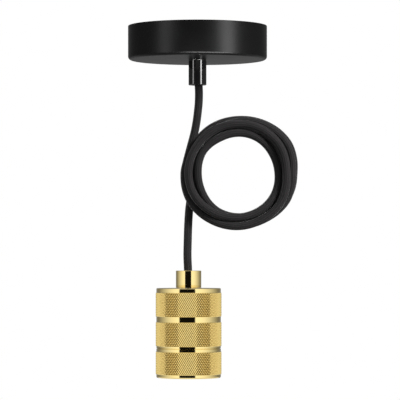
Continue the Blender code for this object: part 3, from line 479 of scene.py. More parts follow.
def gloss_black(colour):
    """Deep gloss black of the canopy's grip."""
    finish = Finish("grip_black")
    place = finish.place()
    lines = finish.noise(finish.stretched(place, (60.0, 60.0, 9000.0)), 1.0, 2.0)
    finish.set(Base_Color=finish.mix(lines, colour, [2 * part for part in colour]),
               Roughness=0.06 + 0.04 * lines, Specular_IOR_Level=0.12)
    finish.bump(lines, 0.000004, 0.4)
    return finish.owner


def braid(name, settings, where):
    """Braided black yarn: slanting floats in columns that run along the cord, with painted shade where the
    weave sinks between them.

    The function given as where makes the values around (0 to 1) and along (metres).
    """
    finish = Finish(name)
    around, along = where(finish)
    column = around * settings.columns
    slant = along / FLOAT_LENGTH + FLOAT_LEAN * column.zigzag(1.0)
    floats = (slant * math.pi).sine().size()
    ridge = (column * math.pi).sine().size()
    threads = (slant * (4 * math.pi)).sine().size()
    place = finish.place()
    fleck = finish.noise(place, 2600.0, 2.0, 0.7)
    wear = finish.noise(place, 90.0, 2.0)
    height = (floats ** 0.5) * (0.35 + 0.65 * ridge) + 0.12 * threads
    # Painted shade: the yarn's colour falls towards the gap colour where the weave sinks between floats and
    # columns; fleck and wear vary it at random
    tone = (height * 0.75 + 0.35 * fleck - 0.12) * (0.8 + 0.4 * wear)
    finish.set(Base_Color=finish.mix(tone, settings.shade, settings.colour), Roughness=0.92 - 0.12 * tone,
               Specular_IOR_Level=0.3, Sheen_Weight=0.40, Sheen_Roughness=0.25)
    finish.bump(height + 0.15 * fleck, 0.00022, 0.8)
    return finish.owner


def tinted(colour, *factors):
    """A colour with its red, green and blue scaled."""
    return [part * factor for part, factor in zip(colour, factors)]


def polished_brass(settings, knurled):
    """Turned and polished brass, with painted shade in the knurl's grooves."""
    finish = Finish("knurled_brass" if knurled else "turned_brass")
    place = finish.place()
    x, y, z = finish.split(place)
    lines = finish.noise(finish.stretched(place, (25.0, 25.0, 5200.0)), 1.0, 3.0, 0.6)
    cloud = finish.noise(place, 140.0, 3.0)
    colour = finish.mix(cloud, settings.colour, tinted(settings.colour, 0.96, 0.90, 0.76))
    roughness = 0.035 + 0.03 * lines + 0.03 * cloud
    if knurled:
        away = x - HOLDER_X
        distance = (away * away + y * y).root()
        # Painted shade: the knurl's grooves are coloured dark brass and its raised diamonds a warmer brass
        crest = distance.ramp(BAND_R + 0.12 * settings.crest, BAND_R + 0.70 * settings.crest)
        knurl_band = knurl_mask(z)
        crests_and_groove_shade = finish.mix(crest, settings.dark, tinted(settings.colour, 1.13, 1.03, 0.78))
        colour = finish.mix(knurl_band, colour, crests_and_groove_shade)
        roughness = roughness + 0.09 * knurl_band
    finish.set(Base_Color=colour, Metallic=1.0, Roughness=roughness)
    finish.bump(lines, 0.000006, 0.5)
    return finish.owner


def knurl_mask(z):
    """One on the knurled bands, zero on the smooth ones."""
    mask = None
    for top, bottom, _ in knurl_bands(bpy.context.scene.pendant_holder):
        inside = (z * -1.0).ramp(-top, -top + SPLIT_GAP) * z.ramp(bottom, bottom + SPLIT_GAP)
        mask = inside if mask is None else mask + inside
    return mask


def plain_metal(name, colour, roughness):
    """Plated or rolled metal with cloudy patches and fine scratches."""
    finish = Finish(name)
    place = finish.place()
    cloud = finish.noise(place, 320.0, 4.0)
    scratch = finish.noise(finish.stretched(place, (4200.0, 160.0, 900.0)), 1.0, 2.0, 0.6)
    finish.set(Base_Color=finish.mix(cloud, colour, [0.75 * part for part in colour]), Metallic=1.0,
               Roughness=roughness - 0.06 + 0.14 * cloud + 0.06 * scratch)
    finish.bump(scratch, 0.000008, 0.4)
    return finish.owner


def glazed_porcelain():
    """White glaze with faint specks and waviness."""
    finish = Finish("porcelain")
    place = finish.place()
    speck = finish.noise(place, 1500.0, 1.0).ramp(0.70, 0.78)
    wave = finish.noise(place, 130.0, 2.0)
    tint = finish.mix(wave, (0.86, 0.84, 0.79), (0.80, 0.77, 0.71))
    finish.set(Base_Color=finish.mix(0.5 * speck, tint, (0.45, 0.40, 0.34)), Roughness=0.12 + 0.10 * wave,
               Coat_Weight=0.6, Coat_Roughness=0.05)
    finish.bump(wave, 0.00008, 0.4)
    return finish.owner


def moulded_plastic(name, colour, roughness=0.4, stripe=None):
    """Moulded plastic or wire insulation, with a second colour in stripes if given."""
    finish = Finish(name)
    place = finish.place()
    grain = finish.noise(place, 1800.0, 2.0)
    cloud = finish.noise(place, 150.0, 2.0)
    tone = finish.mix(cloud, colour, [0.82 * part for part in colour])
    if stripe is not None:
        x, y, z = finish.split(place)
        wave = ((x + y * 1.3 + z * 0.4) * 1900.0).sine().ramp(0.05, 0.20)
        tone = finish.mix(wave, tone, stripe)
    finish.set(Base_Color=tone, Roughness=roughness + 0.1 * grain)
    finish.bump(grain, 0.00002, 0.3)
    return finish.owner


def arc(centre_r, centre_z, radius, start, end, steps=6):
    """Points of a round corner, with its angles in degrees."""
    angles = [math.radians(start + (end - start) * i / steps) for i in range(steps + 1)]
    return [(centre_r + radius * math.cos(a), centre_z + radius * math.sin(a)) for a in angles]


def corner(radius, height, turn, size, steps=3):
    """A small rounded corner of an outline; turn names the quarter that it bulges to."""
    across, up, start, end = {
        "outer_top": (-1, -1, 90, 0), "outer_bottom": (-1, 1, 0, -90),
        "bottom_inner": (1, 1, -90, -180), "inner_top": (1, -1, 180, 90),
    }[turn]
    return arc(radius + across * size, height + up * size, size, start, end, steps)


def finish_piece(name, shape, material, nodes, smooth_angle=SHARP_ANGLE):
    """Turn a bmesh into a piece that rides on the body and stands for CAD nodes."""
    bmesh.ops.remove_doubles(shape, verts=shape.verts[:], dist=TOUCH)
    bmesh.ops.recalc_face_normals(shape, faces=shape.faces[:])
    mesh = bpy.data.meshes.new(name)
    shape.to_mesh(mesh)
    shape.free()
    mesh.shade_smooth()
    mesh.set_sharp_from_angle(angle=math.radians(smooth_angle))
    return place_piece(name, mesh, material, nodes)


def place_piece(name, mesh, material, nodes):
    """Link a finished mesh as a piece of the light."""
    piece = bpy.data.objects.new(name, mesh)
    mesh.materials.append(material)
    bpy.context.scene.collection.objects.link(piece)
    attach(piece, BODY)
    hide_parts(*nodes)
    return piece


def turned(outline, axis_x=0.0, segments=96):
    """Spin a closed outline of (radius, height) points, or one that ends on the axis."""
    shape = bmesh.new()
    points = [shape.verts.new((axis_x + radius, 0, height)) for radius, height in outline]
    edges = [shape.edges.new(pair) for pair in zip(points[:-1], points[1:])]
    if outline[0][0] > 0:
        edges.append(shape.edges.new((points[-1], points[0])))
    bmesh.ops.spin(shape, geom=points + edges, cent=(axis_x, 0, 0), axis=(0, 0, 1),
                   angle=2 * math.pi, steps=segments, use_merge=True)
    bmesh.ops.remove_doubles(shape, verts=shape.verts[:], dist=TOUCH)
    return shape


def new_items(geometry, kind):
    """The vertices, edges or faces among what an operator returned."""
    return [item for item in geometry if isinstance(item, kind)]


def follow(shape, edges, outline):
    """Extrude an open loop around the holder's axis through (radius, height) points."""
    for radius, height in outline:
        made = bmesh.ops.extrude_edge_only(shape, edges=edges)["geom"]
        verts = set(new_items(made, bmesh.types.BMVert))
        for vert in verts:
            angle = math.atan2(vert.co.y, vert.co.x - HOLDER_X)
            vert.co = (HOLDER_X + radius * math.cos(angle), radius * math.sin(angle), height)
        edges = [edge for edge in new_items(made, bmesh.types.BMEdge) if set(edge.verts) <= verts]
    return edges


def rim_edges(shape, height):
    """Open edges that lie at a height."""
    return [edge for edge in shape.edges
            if edge.is_boundary and all(abs(vert.co.z - height) < WELD for vert in edge.verts)]


def items_near(shape, height, reach):
    """Vertices, edges and faces that lie within a reach of a height."""
    def near(verts):
        return all(abs(vert.co.z - height) <= reach + WELD for vert in verts)

    return ([vert for vert in shape.verts if near([vert])]
            + [edge for edge in shape.edges if near(edge.verts)]
            + [face for face in shape.faces if near(face.verts)])


def cut_off(shape, items, height, outward):
    """Cut away what lies over a height, or under it when outward is -1."""
    bmesh.ops.bisect_plane(shape, geom=items, dist=WELD, plane_co=(0, 0, height),
                           plane_no=(0, 0, outward), clear_outer=True)


def linked_object(name, shape):
    """Turn a bmesh into an object of the scene."""
    mesh = bpy.data.meshes.new(name)
    shape.to_mesh(mesh)
    shape.free()
    made = bpy.data.objects.new(name, mesh)
    bpy.context.scene.collection.objects.link(made)
    return made


def drill(piece, place, direction, radius, length, segments=32):
    """Cut a round hole through a finished piece."""
    shape = bmesh.new()
    bmesh.ops.create_cone(shape, cap_ends=True, segments=segments, radius1=radius, radius2=radius,
                          depth=length)
    turn = Vector((0, 0, 1)).rotation_difference(Vector(direction)).to_matrix()
    bmesh.ops.rotate(shape, cent=(0, 0, 0), matrix=turn, verts=shape.verts[:])
    bmesh.ops.translate(shape, vec=place, verts=shape.verts[:])
    bit = linked_object("drill", shape)
    step = piece.modifiers.new("hole", "BOOLEAN")
    step.operation = "DIFFERENCE"
    step.solver = "EXACT"
    step.object = bit
    graph = bpy.context.evaluated_depsgraph_get()
    drilled = bpy.data.meshes.new_from_object(piece.evaluated_get(graph))
    piece.modifiers.clear()
    piece.data = drilled
    drilled.shade_smooth()
    drilled.set_sharp_from_angle(angle=math.radians(SHARP_ANGLE))
    bpy.data.objects.remove(bit)


def dress(node, material):
    """Give a CAD node its finish."""
    solid = frame["nodes"][node]
    if solid.material_slots:
        solid.material_slots[0].material = material
    else:
        solid.data.materials.append(material)


def on_curve(four, t):
    """Value on the smooth curve through four knots, a share t from the second to the third."""
    a, b, c, d = four
    return 0.5 * (2 * b + (c - a) * t + (2 * a - 5 * b + 4 * c - d) * t ** 2
                  + (3 * b - a - 3 * c + d) * t ** 3)


def smooth_line(knots, spacing):
    """Evenly spaced points of a smooth curve through knots."""
    knots = np.array(knots)
    knots = np.vstack([2 * knots[0] - knots[1], knots, 2 * knots[-1] - knots[-2]])
    dense = []
    for four in zip(knots[:-3], knots[1:-2], knots[2:-1], knots[3:]):
        dense += [on_curve(four, t) for t in np.arange(CURVE_STEPS) / CURVE_STEPS]
    dense.append(knots[-2])
    dense = np.array(dense)
    reach = np.concatenate([[0.0], np.cumsum(np.linalg.norm(np.diff(dense, axis=0), axis=1))])
    goals = np.linspace(0.0, reach[-1], round(reach[-1] / spacing) + 1)
    return np.stack([np.interp(goals, reach, dense[:, axis]) for axis in range(3)], axis=1)


def between(values, position):
    """Smooth value between a list's entries, at a fractional position."""
    index = min(int(position), len(values) - 2)
    four = [values[max(0, min(len(values) - 1, index + k))] for k in (-1, 0, 1, 2)]
    return on_curve(four, position - index)


def bulge(radius, hour):
    """How far a strand of the coil lies off its circle, at an hour of the turn."""
    share = min(1.0, max(0.0, (radius - INNER_STRAND_R) / (OUTER_STRAND_R - INNER_STRAND_R)))
    outer, inner = (between([values[-1], *values, *values[:2]], hour % 12 + 1)
                    for values in (OUTER_BULGE, INNER_BULGE))
    return inner + share * (outer - inner)


def coil_turns(diameter, turn_points):
    """Route points of the coil's turns, from its quarter stations."""
    radii = [radius for radius, _ in COIL_QUARTERS]
    depths = [depth * diameter for _, depth in COIL_QUARTERS]
    quarters = len(COIL_QUARTERS) - 1
    count = quarters * turn_points // 4
    points = []
    for i in range(count + 1):
        position = quarters * i / count
        angle = math.pi + 2 * math.pi * i / turn_points
        radius = between(radii, position)
        radius += bulge(radius, 6 / math.pi * angle)
        points.append((COIL_X + radius * math.cos(angle), between(depths, position),
                       COIL_Z + radius * math.sin(angle)))
    return points


def settle(points, held, diameter, turn_points):
    """Push the strands of the coil apart where they lie in each other."""
    rounds, push, spring = 400, 0.3, 0.996
    goal = np.array(points)
    shift = np.zeros_like(goal)
    index = np.arange(len(goal))
    apart = np.abs(index[:, None] - index[None, :]) > turn_points // 2
    for _ in range(rounds):
        now = goal + shift
        gap = now[:, None, :] - now[None, :, :]
        distance = np.linalg.norm(gap, axis=2)
        close = apart & (distance < diameter)
        share = np.where(close, (diameter - distance) / np.maximum(distance, 1e-9), 0.0)
        shift = shift + (push * share[:, :, None] * gap).sum(axis=1)
        shift[1:-1] = 0.5 * shift[1:-1] + 0.25 * (shift[:-2] + shift[2:])
        shift *= spring * held[:, None]
    return goal + shift


def cord_route(settings):
    """Points that the cord follows from the canopy grip to the holder's grip."""
    turns = coil_turns(settings.diameter, settings.turn_points)
    points = [*UPPER_ROUTE, *COIL_ENTRY, *turns, *COIL_LEAVING, *LOWER_ROUTE]
    held = np.ones(len(points))
    held[:len(UPPER_ROUTE)] = 0.0
    held[-len(LOWER_ROUTE):] = 0.0
    for step in range(EASED_POINTS):
        share = (step + 1) / (EASED_POINTS + 1)
        held[len(UPPER_ROUTE) + step] = share
        held[-len(LOWER_ROUTE) - 1 - step] = share
    return settle(points, held, settings.diameter, settings.turn_points)


def cord_mesh(name, line, settings):
    """Braided tube along a line, with UV around (0 to 1) and along (metres)."""
    sides = settings.sides
    ahead = np.gradient(line, axis=0)
    ahead /= np.linalg.norm(ahead, axis=1)[:, None]
    side = np.cross(ahead[0], (0.0, 1.0, 0.0))
    sideways = []
    for direction in ahead:
        side = side - direction * np.dot(side, direction)
        side = side / np.linalg.norm(side)
        sideways.append(side)
    sideways = np.array(sideways)
    upward = np.cross(ahead, sideways)
    angles = 2 * math.pi * np.arange(sides) / sides
    ridge = np.abs(np.sin(angles * settings.columns / 2))
    radius = settings.diameter / 2 - settings.relief * (1.0 - ridge)
    ring = (sideways[:, None, :] * (radius * np.cos(angles))[None, :, None]
            + upward[:, None, :] * (radius * np.sin(angles))[None, :, None])
    verts = (line[:, None, :] + ring).reshape(-1, 3)
    faces = []
    uvs = []
    step = np.linalg.norm(line[1] - line[0])
    for i in range(len(line) - 1):
        for k in range(sides):
            after = (k + 1) % sides
            faces.append((i * sides + k, i * sides + after, (i + 1) * sides + after, (i + 1) * sides + k))
            u0, u1, v0, v1 = k / sides, (k + 1) / sides, i * step, (i + 1) * step
            uvs += [u0, v0, u1, v0, u1, v1, u0, v1]
    last = (len(line) - 1) * sides
    for cap in (tuple(range(sides))[::-1], tuple(range(last, last + sides))):
        faces.append(cap)
        uvs += [0.0, 0.0] * sides
    mesh = bpy.data.meshes.new(name)
    mesh.from_pydata(verts.tolist(), [], faces)
    mesh.uv_layers.new(name="braid")
    mesh.uv_layers["braid"].data.foreach_set("uv", uvs)
    mesh.shade_smooth()
    return mesh


class PENDANT_OT_cord(bpy.types.Operator):
    """Make the braided cord in its coil, and finish its two clamped ends"""

    bl_idname = "pendant.cord"
    bl_label = "Textile cord"

    def execute(self, context):
        settings = context.scene.pendant_cord
        line = smooth_line(cord_route(settings), settings.spacing)

        def on_cord(finish):
            return finish.split(finish.node("ShaderNodeTexCoord", output="UV"))[:2]

        material = braid("cord_textile", settings, on_cord)
        mesh = cord_mesh("textile_cord", line, settings)
        cord = place_piece("textile_cord", mesh, material,
                           ("cord_upper", "cord_coil", "cord_lower"))

        for node in ("cord_end_upper", "cord_end_lower"):
            middle = node_middle(node)

            def on_end(finish, centre=middle):
                x, y, z = finish.split(finish.place())
                return (y - centre.y).angle_from(x - centre.x) / (2 * math.pi) + 0.5, z

            dress(node, braid(node + "_textile", settings, on_end))
        return {"FINISHED"}


class PENDANT_OT_canopy(bpy.types.Operator):
    """Make the canopy's turned cup"""

    bl_idname = "pendant.canopy"
    bl_label = "Canopy cup"

    def execute(self, context):
        settings = context.scene.pendant_canopy
        edge = settings.edge_radius
        bottom, top = CUP_LOW.z, CUP_HIGH.z
        rim = 0.25 * CUP_WALL
        outline = corner(CUP_R - CUP_WALL, top, "inner_top", rim)
        outline += corner(CUP_R, top, "outer_top", rim)
        outline += arc(CUP_R - edge, bottom + edge, edge, 0, -90, 10)
        outline += [(TAP_R, bottom), (TAP_R, bottom + CUP_WALL)]
        outline += arc(CUP_R - edge, bottom + edge, edge - CUP_WALL, -90, 0, 6)
        shape = turned(outline, segments=settings.segments)
        finish_piece("canopy_shell", shape, powder_coat(settings.colour), ("canopy_cup",))
        return {"FINISHED"}


class PENDANT_OT_grips(bpy.types.Operator):
    """Make the two turned cord grips, with the holes for their grub screws"""

    bl_idname = "pendant.grips"
    bl_label = "Cord grips"

    def execute(self, context):
        edge = 0.0005
        low, high = CANOPY_GRIP_LOW.z, CANOPY_GRIP_HIGH.z
        radius = (CANOPY_GRIP_HIGH.x - CANOPY_GRIP_LOW.x) / 2
        thread_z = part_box("canopy_tube")[0].z - SPLIT_GAP
        outline = [(TAP_R, high), *corner(radius, high, "outer_top", edge / 3),
                   *corner(radius, low, "outer_bottom", edge, 5),
                   *corner(CORD_BORE_R, low, "bottom_inner", edge), (CORD_BORE_R, thread_z),
                   (TAP_R, thread_z)]
        black = gloss_black(context.scene.pendant_canopy.grip_colour)
        grip = finish_piece("canopy_cord_grip", turned(outline), black, ("canopy_grip",))
        self.drill_for_screw(grip, "canopy_grip_screw", 0.0, radius)

        low, high = HOLDER_GRIP_LOW.z, HOLDER_GRIP_HIGH.z
        radius = (HOLDER_GRIP_HIGH.x - HOLDER_GRIP_LOW.x) / 2
        thread_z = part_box("holder_tube")[1].z + SPLIT_GAP
        outline = [(CORD_BORE_R, high - edge), (CORD_BORE_R + edge, high),
                   *corner(radius, high, "outer_top", edge / 2),
                   *corner(radius, low, "outer_bottom", edge / 3),
                   (TAP_R, low), (TAP_R, thread_z), (CORD_BORE_R, thread_z)]
        brass = polished_brass(context.scene.pendant_holder, knurled=False)
        grip = finish_piece("holder_cord_grip", turned(outline, HOLDER_X), brass,
                            ("holder_grip",))
        self.drill_for_screw(grip, "holder_grip_screw", HOLDER_X, radius)
        return {"FINISHED"}

    def drill_for_screw(self, grip, screw, axis_x, radius):
        """Cut the grub screw's hole through the grip's wall."""
        middle = node_middle(screw)
        outward = Vector((middle.x - axis_x, middle.y, 0)).normalized()
        hole = Vector((axis_x, 0, middle.z)) + outward * (radius + CORD_BORE_R) / 2
        drill(grip, hole, outward, GRUB_HOLE_R, radius)


def knurl_bands(settings):
    """Top, bottom and half rows of each knurled band."""
    one = HOLDER_HIGH.z - TOP_RIM
    two = one - KNURL_UPPER - GROOVE
    three = two - KNURL_UPPER - GROOVE
    return ((one, one - KNURL_UPPER, settings.half_rows), (two, two - KNURL_UPPER, settings.half_rows),
            (three, three - KNURL_LOWER, settings.last_half_rows))


def knurl(shape, settings, band):
    """Add one band of raised diamonds, open above and below."""
    top, bottom, half_rows = band
    step = (top - bottom) / half_rows
    half_angle = math.pi / settings.diamonds
    places = ((0.0, step), (half_angle, 0.0), (0.0, -step), (-half_angle, 0.0))
    points = [shape.verts.new((HOLDER_X + BAND_R * math.cos(angle), BAND_R * math.sin(angle), top + rise))
              for angle, rise in places]
    cell = shape.faces.new(points[::-1])
    if cell.normal.x < 0:
        cell.normal_flip()
    faces = [cell]
    for width, rise in ((settings.groove_width, 0.0), (settings.wall, settings.crest - settings.flank_rise),
                        (settings.flank, settings.flank_rise)):
        faces += bmesh.ops.inset_individual(shape, faces=[cell], thickness=width, depth=rise,
                                            use_even_offset=True)["faces"]
    items = faces + list({edge for face in faces for edge in face.edges})
    items += list({vert for face in faces for vert in face.verts})
    bmesh.ops.spin(shape, geom=items, cent=(HOLDER_X, 0, 0), axis=(0, 0, 1), angle=2 * math.pi,
                   steps=settings.diamonds, use_merge=False, use_duplicate=True)
    ring = items_near(shape, top, step)
    for k in range(1, half_rows + 1):
        copy = bmesh.ops.duplicate(shape, geom=ring)["geom"]
        verts = new_items(copy, bmesh.types.BMVert)
        turn = Matrix.Rotation(half_angle * (k % 2), 3, "Z")
        bmesh.ops.rotate(shape, cent=(HOLDER_X, 0, 0), matrix=turn, verts=verts)
        bmesh.ops.translate(shape, vec=(0, 0, -step * k), verts=verts)
    middle, reach = (top + bottom) / 2, (top - bottom) / 2 + step
    doubles = new_items(items_near(shape, middle, reach), bmesh.types.BMVert)
    bmesh.ops.remove_doubles(shape, verts=doubles, dist=WELD)
    for height, outward in ((top, 1), (bottom, -1)):
        cut_off(shape, items_near(shape, middle, reach), height, outward)


class PENDANT_OT_shells(bpy.types.Operator):
    """Make the knurled upper shell and the knurled ring of the lamp holder"""

    bl_idname = "pendant.shells"
    bl_label = "Knurled shells"

    def execute(self, context):
        settings = context.scene.pendant_holder
        brass = polished_brass(settings, knurled=True)
        bands = knurl_bands(settings)
        self.upper_shell(settings, bands, brass)
        self.lower_ring(settings, bands[2], brass)
        return {"FINISHED"}

    def upper_shell(self, settings, bands, brass):
        """Two bands, a rim above, a groove between, and the spigot below."""
        shape = bmesh.new()
        for band in bands[:2]:
            knurl(shape, settings, band)
        edge, fine = 0.0007, 0.00025
        top, split, spigot = HOLDER_HIGH.z, bands[1][1] - GROOVE_ABOVE_SPLIT, HOLDER_LOW.z
        above, under = rim_edges(shape, bands[0][0]), rim_edges(shape, bands[0][1])
        outline = [(BAND_R, bands[0][0] + fine), *reversed(corner(BAND_R, top, "outer_top", edge, 5)),
                   (TAP_R + fine, top), (TAP_R, top - fine), (TAP_R, top - TOP_PLATE),
                   (SPIGOT_BORE_R, top - TOP_PLATE), (SPIGOT_BORE_R, spigot), (SPIGOT_R, spigot),
                   (SPIGOT_R, split), (BAND_R - fine, split), (BAND_R, split + fine),
                   (BAND_R, bands[1][1] - fine)]
        end = follow(shape, above, outline)
        bmesh.ops.bridge_loops(shape, edges=end + rim_edges(shape, bands[1][1]))
        groove = follow(shape, under, [(BAND_R, bands[0][1] - fine), (BAND_R, bands[1][0] + fine)])
        bmesh.ops.bridge_loops(shape, edges=groove + rim_edges(shape, bands[1][0]))
        finish_piece("holder_upper_shell", shape, brass, ("upper_shell",),
                     smooth_angle=20.0)

    def lower_ring(self, settings, band, brass):
        """One band, with a groove above and the lip that holds the porcelain below."""
        shape = bmesh.new()
        knurl(shape, settings, band)
        edge, fine = 0.0010, 0.00025
        top, bottom = RING_HIGH.z, RING_LOW.z
        outline = [(BAND_R, band[0] + fine), (BAND_R, top - fine), (BAND_R - fine, top), (RING_BORE_R, top),
                   (RING_BORE_R, bottom + LIP_THICKNESS), (LIP_R, bottom + LIP_THICKNESS),
                   *reversed(corner(LIP_R, bottom, "bottom_inner", 0.4 * edge)),
                   *reversed(corner(BAND_R, bottom, "outer_bottom", edge, 6)), (BAND_R, band[1] - fine)]
        end = follow(shape, rim_edges(shape, band[0]), outline)
        bmesh.ops.bridge_loops(shape, edges=end + rim_edges(shape, band[1]))
        finish_piece("holder_lower_ring", shape, brass, ("lower_ring",),
                     smooth_angle=20.0)


class PENDANT_OT_socket(bpy.types.Operator):
    """Make the porcelain body and the screw shell, and finish the centre contact"""

    bl_idname = "pendant.socket"
    bl_label = "Lamp socket"

    def execute(self, context):
        low, high = PORCELAIN_LOW.z, PORCELAIN_HIGH.z
        cavity_top = high - PORCELAIN_FLOOR
        flange_top = HOLDER_LOW.z - SPLIT_GAP
        edge = 0.0006
        outline = [(0, high), *corner(PORCELAIN_R, high, "outer_top", edge), (PORCELAIN_R, flange_top),
                   *corner(FLANGE_R, flange_top, "outer_top", edge / 2),
                   *corner(FLANGE_R, low, "outer_bottom", edge / 2),
                   *corner(CAVITY_R, low, "bottom_inner", edge), (CAVITY_R, cavity_top), (0, cavity_top)]
        body = finish_piece("porcelain_body", turned(outline, HOLDER_X), glazed_porcelain(),
                            ("ceramic_body",))
        for screw in ("line_contact_screw", "neutral_contact_screw"):
            middle = node_middle(screw)
            drill(body, (middle.x, 0, (high + cavity_top) / 2), (0, 0, 1), CONTACT_HOLE_R,
                  2 * PORCELAIN_FLOOR)
        metal = plain_metal("contact_brass", (0.72, 0.56, 0.28), 0.26)
        self.screw_shell(metal)
        dress("centre_contact", metal)
        return {"FINISHED"}

    def screw_shell(self, metal):
        """Rolled wall with a round right-handed thread, a plain mouth and a floor ring."""
        low, high = THREAD_LOW.z, THREAD_HIGH.z
        crest_r = (THREAD_HIGH.x - THREAD_LOW.x) / 2
        shape = bmesh.new()
        wave_steps, turn_steps = 12, 72
        points = []
        for i in range(wave_steps + 1):
            share = i / wave_steps
            wave = 0.5 - 0.5 * math.cos(2 * math.pi * share)
            place = (HOLDER_X + crest_r - THREAD_DEPTH * wave, 0, low - THREAD_PITCH * (1 - share))
            points.append(shape.verts.new(place))
        edges = [shape.edges.new(pair) for pair in zip(points[:-1], points[1:])]
        turns = math.ceil((high - low) / THREAD_PITCH) + 1
        bmesh.ops.spin(shape, geom=points + edges, cent=(HOLDER_X, 0, 0), axis=(0, 0, 1),
                       dvec=(0, 0, THREAD_PITCH / turn_steps), angle=2 * math.pi * turns,
                       steps=turn_steps * turns)
        bmesh.ops.remove_doubles(shape, verts=shape.verts[:], dist=WELD)
        start, end = low + THREAD_MARGIN, high - THREAD_MARGIN
        for height, outward in ((start, -1), (end, 1)):
            cut_off(shape, [*shape.verts, *shape.edges, *shape.faces], height, outward)
        mouth, floor = rim_edges(shape, start), rim_edges(shape, end)
        follow(shape, mouth, [(crest_r, start - 0.5 * THREAD_MARGIN), (crest_r, low)])
        follow(shape, floor, [(crest_r, end + 0.5 * THREAD_MARGIN), (crest_r, high - SHELL_WALL),
                              (crest_r - SHELL_WALL, high), (SHELL_FLOOR_R, high)])
        bmesh.ops.recalc_face_normals(shape, faces=shape.faces[:])
        shell = finish_piece("threaded_shell", shape, metal, ("screw_shell",),
                             smooth_angle=50.0)
        wall = shell.modifiers.new("wall", "SOLIDIFY")
        wall.thickness = SHELL_WALL
        wall.offset = -1.0


class PENDANT_OT_hardware(bpy.types.Operator):
    """Finish the strap, tubes, nuts, lugs, terminals and cores"""

    bl_idname = "pendant.hardware"
    bl_label = "Fittings and cores"

    def execute(self, context):
        zinc = plain_metal("zinc_steel", (0.62, 0.62, 0.60), 0.30)
        brass = plain_metal("terminal_brass", (0.70, 0.54, 0.27), 0.30)
        nylon = moulded_plastic("nylon", (0.80, 0.80, 0.76))
        brown = moulded_plastic("core_brown", (0.16, 0.06, 0.03), 0.35)
        blue = moulded_plastic("core_blue", (0.03, 0.12, 0.42), 0.35)
        earth = moulded_plastic("core_earth", (0.16, 0.36, 0.05), 0.35, stripe=(0.75, 0.62, 0.05))
        finishes = {"zinc_steel": zinc, "contact_brass": brass, "nylon": nylon, "core_brown": brown,
                    "core_blue": blue, "core_earth": earth}
        for entry in frame["record"]["subparts"]:
            node, slot = entry["node"], entry["material_slot"]
            if slot in finishes and node != "centre_contact" and not frame["nodes"][node].hide_render:
                dress(node, finishes[slot])
        return {"FINISHED"}


